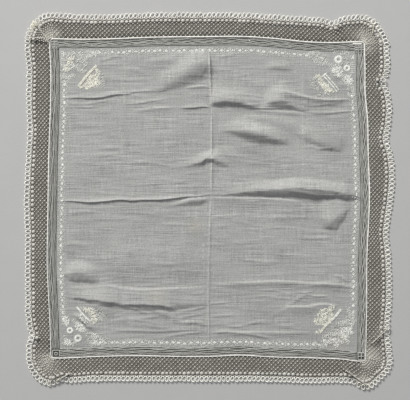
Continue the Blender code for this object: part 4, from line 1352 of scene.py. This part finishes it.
def sprig(shape, draw, start, end, bow):
    """A curved stem with pairs of small leaves."""
    line, turn, side = stem(shape, draw, start, end, bow, spread=1.9, length=1.0, width=0.3)
    for way in (-1, 1):
        spots = line + way * LEAF_ASIDE * side + draw.normal(0, 0.25, line.shape)
        angle = turn + way * LEAF_TURN + draw.normal(0, 0.3, len(line))
        size = draw.uniform(0.7, 1.15, len(line))
        axes = flat_axes(angle, size, width=0.34, height=0.16)
        shape.stamps(STITCH, on_cloth(spots, LEAF_RISE), axes)


def small_flower(shape, draw, place, radius, petals, finish):
    """A flower of satin-stitch petals round a small knot."""
    turn = 2 * np.pi * np.arange(petals) / petals + draw.uniform(0, 1)
    spots = np.array(place, float) + radius * PETAL_PLACE * ways(turn)
    spots = spots + draw.normal(0, 0.35, spots.shape)
    petal = radius * draw.uniform(*PETAL_SIZES, petals)
    turn = turn + draw.normal(0, TURN_VARIES, petals)
    axes = flat_axes(turn, petal, radius * PETAL_WIDE, height=0.2)
    shape.stamps(STITCH, on_cloth(spots, FLOWER_RISE), axes, finish)
    knot = on_cloth(np.array(place, float)[None], FLOWER_RISE)
    axes = flat_axes(np.zeros(1), length=0.45, width=0.45, height=0.25)
    shape.stamps(BEAD, knot, axes, finish)


def eyelet_flower(shape, place, radius):
    """A worked eyelet: a thick stitched ring with a small opening."""
    count = int(2 * np.pi * radius * 0.7 / 0.8)
    turn = 2 * np.pi * np.arange(count) / count
    spots = np.array(place, float) + radius * EYELET_PLACE * ways(turn)
    axes = flat_axes(turn, radius * EYELET_LONG, width=0.55, height=0.22)
    shape.stamps(STITCH, on_cloth(spots, FLOWER_RISE), axes, finish=0)


# The corner sprays, in millimetres across and down the picture. Each blob is a worked leaf
# or a patch of scattered fine stitches, with its turn in degrees and number of stitches.
Blob = namedtuple("Blob", "x y length width degrees stitches finish")
BLOBS = rows_of(Blob,
    (92.6, 80.4, 7.0, 5.0, 50, 230, 1), (96, 83.5, 4.5, 3.5, 20, 70, 1),
    (87.5, 86.5, 3.5, 3.0, -60, 50, 1), (97.5, 71, 4.0, 1.8, -60, 36, 1),
    (101.5, 79, 8.0, 2.6, -80, 60, 2), (70, 60, 4.5, 4.0, 30, 60, 1), (67, 69, 3.6, 3.6, 0, 46, 1),
    (80, 55, 17.0, 4.5, 0, 150, 2), (64, 70, 4.0, 15.0, 0, 120, 2), (80, 67, 8.0, 4.0, -20, 50, 2),
    (318.6, 76.6, 3.6, 1.8, -10, 50, 1), (321.6, 82.6, 4.2, 2.6, -60, 80, 1),
    (326, 87.6, 5.0, 3.4, -40, 100, 1), (331.6, 91, 3.8, 2.0, -20, 44, 1),
    (315, 84, 5.0, 7.0, 20, 60, 2), (325, 95, 8.0, 2.5, 0, 40, 2),
    (337, 71, 6.0, 5.0, -45, 110, 0), (348.5, 80, 5.0, 5.0, 0, 80, 0),
    (318, 57, 11.0, 4.5, -20, 110, 2), (346, 60, 8.0, 8.0, 0, 70, 2),
    (351, 90, 3.5, 9.0, 0, 60, 2), (91.5, 313, 5.5, 4.6, -40, 130, 1),
    (86, 309.8, 4.2, 2.0, -20, 46, 1), (93.5, 321, 4.5, 2.6, 20, 64, 1),
    (82.5, 318, 7.5, 1.9, -50, 60, 0), (101.5, 315, 5.5, 6.0, 30, 80, 2),
    (66, 321.5, 4.0, 4.5, 0, 66, 0), (80.5, 327.5, 5.5, 3.8, -35, 70, 0),
    (70, 343, 7.0, 3.5, 0, 70, 2), (98, 341, 12.0, 4.5, 0, 110, 2),
    (325, 316.8, 8.6, 7.4, 50, 330, 1), (331, 308.5, 4.4, 2.8, 60, 56, 1),
    (318, 321, 4.0, 3.6, 0, 56, 1), (319.5, 331.5, 3.6, 1.7, 20, 36, 1),
    (346, 333, 7.0, 5.0, 35, 120, 0), (332, 342, 11.0, 3.8, 0, 120, 0),
    (341, 330, 10.0, 8.0, 30, 150, 2), (350, 322, 5.0, 8.0, 0, 80, 2))
Stem = namedtuple("Stem", "x1 y1 x2 y2 bow thick finish")
STEMS = rows_of(Stem,
    (78.5, 87, 96.5, 65.8, 0.8, 0.75, 1), (80, 88, 84.5, 86, 0.0, 0.7, 1),
    (323.4, 75.8, 337.2, 92.0, 0.3, 0.16, 0), (325.2, 74.2, 339.0, 90.2, 0.3, 0.16, 0),
    (322.5, 76.4, 326.5, 73.4, 0.0, 0.4, 0), (77.2, 307, 90.4, 321.4, -0.4, 0.45, 0),
    (320, 333, 333, 318.4, 0.4, 0.7, 1), (332, 320, 341, 309.5, -0.3, 0.7, 0))
Flower = namedtuple("Flower", "x y radius petals finish")
FLOWERS = rows_of(Flower,
    (70.5, 61, 3.6, 6, 1), (66, 70, 3.0, 5, 1), (73, 66.5, 3.0, 5, 0), (81, 54, 2.8, 6, 0),
    (64, 54, 2.2, 5, 0), (96, 54, 2.0, 5, 0), (321.5, 59, 2.5, 5, 0), (336, 70.5, 4.0, 7, 0),
    (339, 75.5, 3.0, 5, 0), (348.5, 79, 3.6, 6, 0), (353, 58, 2.6, 6, 0), (68, 342.5, 3.6, 8, 0),
    (66.5, 323, 3.0, 6, 0), (79, 328, 3.2, 6, 0), (95, 341, 2.4, 5, 0), (347, 331.5, 3.4, 6, 0),
    (343.5, 338, 3.2, 6, 1), (330, 342, 2.6, 5, 0), (336, 345.5, 2.8, 6, 0), (352, 325, 2.4, 5, 0))
Eyelet = namedtuple("Eyelet", "x y radius")
EYELETS = rows_of(Eyelet,
    (338.5, 59.7, 4.7), (347.0, 68.4, 3.9), (70.0, 330.6, 3.7), (78.2, 338.4, 4.3))
Sprig = namedtuple("Sprig", "x1 y1 x2 y2 bow")
SPRIGS = rows_of(Sprig,
    (62, 51, 62, 66, 1.0), (73, 51, 75, 60, -1.0), (77, 60, 87, 66, 2.0), (76, 66, 86, 72, -1.5),
    (84, 60, 96, 55, 1.5), (62, 76, 76, 76, -1.5), (64, 82, 75, 75, 1.0), (87, 52, 99, 52, -0.8),
    (306, 55, 320, 53, 1.0), (313, 59, 324, 65, -1.0), (324, 62, 332, 68, 1.5),
    (333, 53, 350, 54, 1.5), (352, 62, 352, 74, 1.0), (343, 75, 350, 86, -1.5),
    (352, 84, 353, 97, 1.0), (62, 309, 64, 320, 1.0), (72, 320, 86, 332, 1.5),
    (63, 336, 74, 346, -1.0), (86, 334, 98, 338, 1.5), (90, 344, 106, 341, -1.0),
    (92, 334, 104, 342, 1.0), (322, 338, 340, 334, 1.5), (338, 324, 354, 321, 1.0),
    (343, 327, 354, 334, -1.0), (312, 343, 328, 346, -1.0), (336, 330, 349, 344, 1.5),
    (348, 308, 354, 318, -1.0))


def corner_sprays(finishes):
    """Whitework sprays in the four corners of the linen."""
    shape = Shape()
    draw = np.random.default_rng(21)
    for blob in BLOBS:
        satin_body(shape, draw, blob)
    for row in STEMS:
        start, end = ends_of(row)
        heading = math.atan2(*(end - start)[::-1])
        across = np.array([-math.sin(heading), math.cos(heading)])
        for shift in (-row.thick, 0.0, row.thick):
            aside = shift * across + draw.normal(0, 0.08, 2)
            low, high = start + aside, end + aside
            stem(shape, draw, low, high, row.bow, spread=1.0, length=1.15, width=0.34,
                 slope=0.45, finish=row.finish)
    for flower in FLOWERS:
        place = from_picture((flower.x, flower.y))
        small_flower(shape, draw, place, flower.radius, flower.petals, flower.finish)
    for eyelet in EYELETS:
        eyelet_flower(shape, from_picture((eyelet.x, eyelet.y)), eyelet.radius)
    for row in SPRIGS:
        start, end = ends_of(row)
        sprig(shape, draw, start, end, row.bow)
    return shape.build("corner_sprays", finishes)


def darned_patch(finish):
    """A short dense darn under the hem, near the top right corner."""
    shape = Shape()
    ends = from_picture([(DARN_FROM, DARN_LEVEL), (DARN_TO, DARN_LEVEL)])
    places = raised(straight(*ends, DARN_STITCHES), np.full(DARN_STITCHES, CLOTH_THICK + DARN_RISE))
    across = np.full(DARN_STITCHES, np.pi / 2)
    axes = flat_axes(across, length=1.15, width=0.5, height=0.35)
    shape.stamps(STITCH, places, axes)
    return shape.build("darned_patch", [finish])


def add_floor():
    """The floor that the handkerchief lies on."""
    mesh = bpy.data.meshes.new("floor")
    corners = [(x * FLOOR_HALF, y * FLOOR_HALF, FLOOR_LEVEL) for x, y in CORNER_SIGNS[::-1]]
    mesh.from_pydata(corners, [], [(0, 1, 2, 3)])
    mesh.materials.append(floor_finish())
    floor = show("floor", mesh)


def add_light(name, place, size, power, colour):
    """A square soft light that looks at the cloth."""
    light = bpy.data.lights.new(name, "AREA")
    light.shape = "SQUARE"
    light.size = size
    light.energy = power
    light.color = colour
    lamp = show(name, light)
    lamp.location = place
    lamp.rotation_euler = (-Vector(place)).to_track_quat("-Z", "Y").to_euler()
    lamp.visible_camera = False


def add_camera():
    """The camera, straight above the middle of the picture."""
    camera = bpy.data.cameras.new("camera")
    camera.lens = CAMERA_LENS
    camera.sensor_width = SENSOR
    camera.clip_end = 20.0
    holder = show("camera", camera)
    height = PHOTO_WIDTH * MM * CAMERA_LENS / SENSOR
    holder.location = (PHOTO_MIDDLE[0] * MM, PHOTO_MIDDLE[1] * MM, height)
    bpy.context.scene.camera = holder


def add_world():
    """Even soft light from all round."""
    world = bpy.data.worlds.new("studio")
    world.use_nodes = True
    background = world.node_tree.nodes["Background"]
    background.inputs["Color"].default_value = SKY
    background.inputs["Strength"].default_value = SKY_STRENGTH
    bpy.context.scene.world = world


def main():
    """Build the pieces, the stage, the lights and the camera."""
    white = thread_finish("white_stitching", dark=(0.51, 0.51, 0.48), light=(0.77, 0.77, 0.73))
    satin = thread_finish("cream_satin", dark=(0.5, 0.495, 0.43), light=(0.74, 0.735, 0.655))
    faint = thread_finish("fine_stitching", dark=(0.38, 0.38, 0.357), light=(0.58, 0.58, 0.55))
    hem_thread = thread_finish("hem_linen", dark=(0.56, 0.555, 0.52), light=(0.76, 0.75, 0.71))
    cream = thread_finish(
        "cream_thread", dark=(0.6, 0.59, 0.535), light=(0.88, 0.87, 0.81),
        aged=(0.66, 0.62, 0.48), spots=AGED, strength=0.35,
    )
    knots = thread_finish(
        "net_knots", dark=(0.38, 0.37, 0.33), light=(0.62, 0.605, 0.54),
        aged=(0.52, 0.49, 0.38), spots=AGED, strength=0.6,
    )
    dots = thread_finish("net_dots", dark=(0.34, 0.332, 0.302), light=(0.54, 0.531, 0.487))
    bars = thread_finish(
        "net_threads", dark=(0.18, 0.173, 0.155), light=(0.32, 0.31, 0.277),
        aged=(0.58, 0.57, 0.515), spots=GATHERS,
    )
    band = thread_finish("band_threads", dark=(0.26, 0.26, 0.24), light=(0.43, 0.43, 0.41))
    # The net's ground and the drawn band's ground are dark sheets of painted shade for the gaps
    # between the threads; the band's corner openings are painted near black.
    net_shade_finish = gauze_finish(
        "shaded_net_ground", dark=(0.115, 0.109, 0.097), light=(0.225, 0.214, 0.191),
        cells=1300, clear=0.66, solid=0.92,
        spots=GATHERS, spot_colour=(0.47, 0.46, 0.415),
    )
    band_shade_finish = gauze_finish(
        "shaded_band_ground", dark=(0.055, 0.053, 0.048), light=(0.175, 0.17, 0.157),
        cells=900, clear=0.6, solid=0.92,
        spots=SHADED_OPENINGS, spot_colour=(0.02, 0.02, 0.018),
    )

    cloth = linen_cloth([linen_finish(), band_shade_finish])
    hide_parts("linen_centre")
    on_linen = [
        rolled_hem(hem_thread),
        drawn_threads(band),
        corner_squares([band, faint]),
        vine_border([white, faint]),
        corner_sprays([white, satin, faint]),
        darned_patch(hem_thread),
    ]
    net = shaded_net_ground(net_shade_finish)
    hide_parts("net_border")
    threads = net_threads([knots, bars, cream, dots])
    rings = ring_loops(cream)
    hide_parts("ring_edging")
    for piece in [cloth, *on_linen]:
        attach(piece, "root")
    for piece in [net, threads]:
        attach(piece, "root")
    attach(rings, "root")

    add_floor()
    add_light("key_light", (-1.62, 3.16, 1.96), size=1.25, power=281.0, colour=(1.0, 0.985, 0.96))
    add_light("top_light", (0.3, 0.1, 1.9), size=1.2, power=9.0, colour=(1.0, 1.0, 1.0))
    add_world()
    add_camera()
    bpy.context.scene.view_settings.view_transform = "Standard"


main()
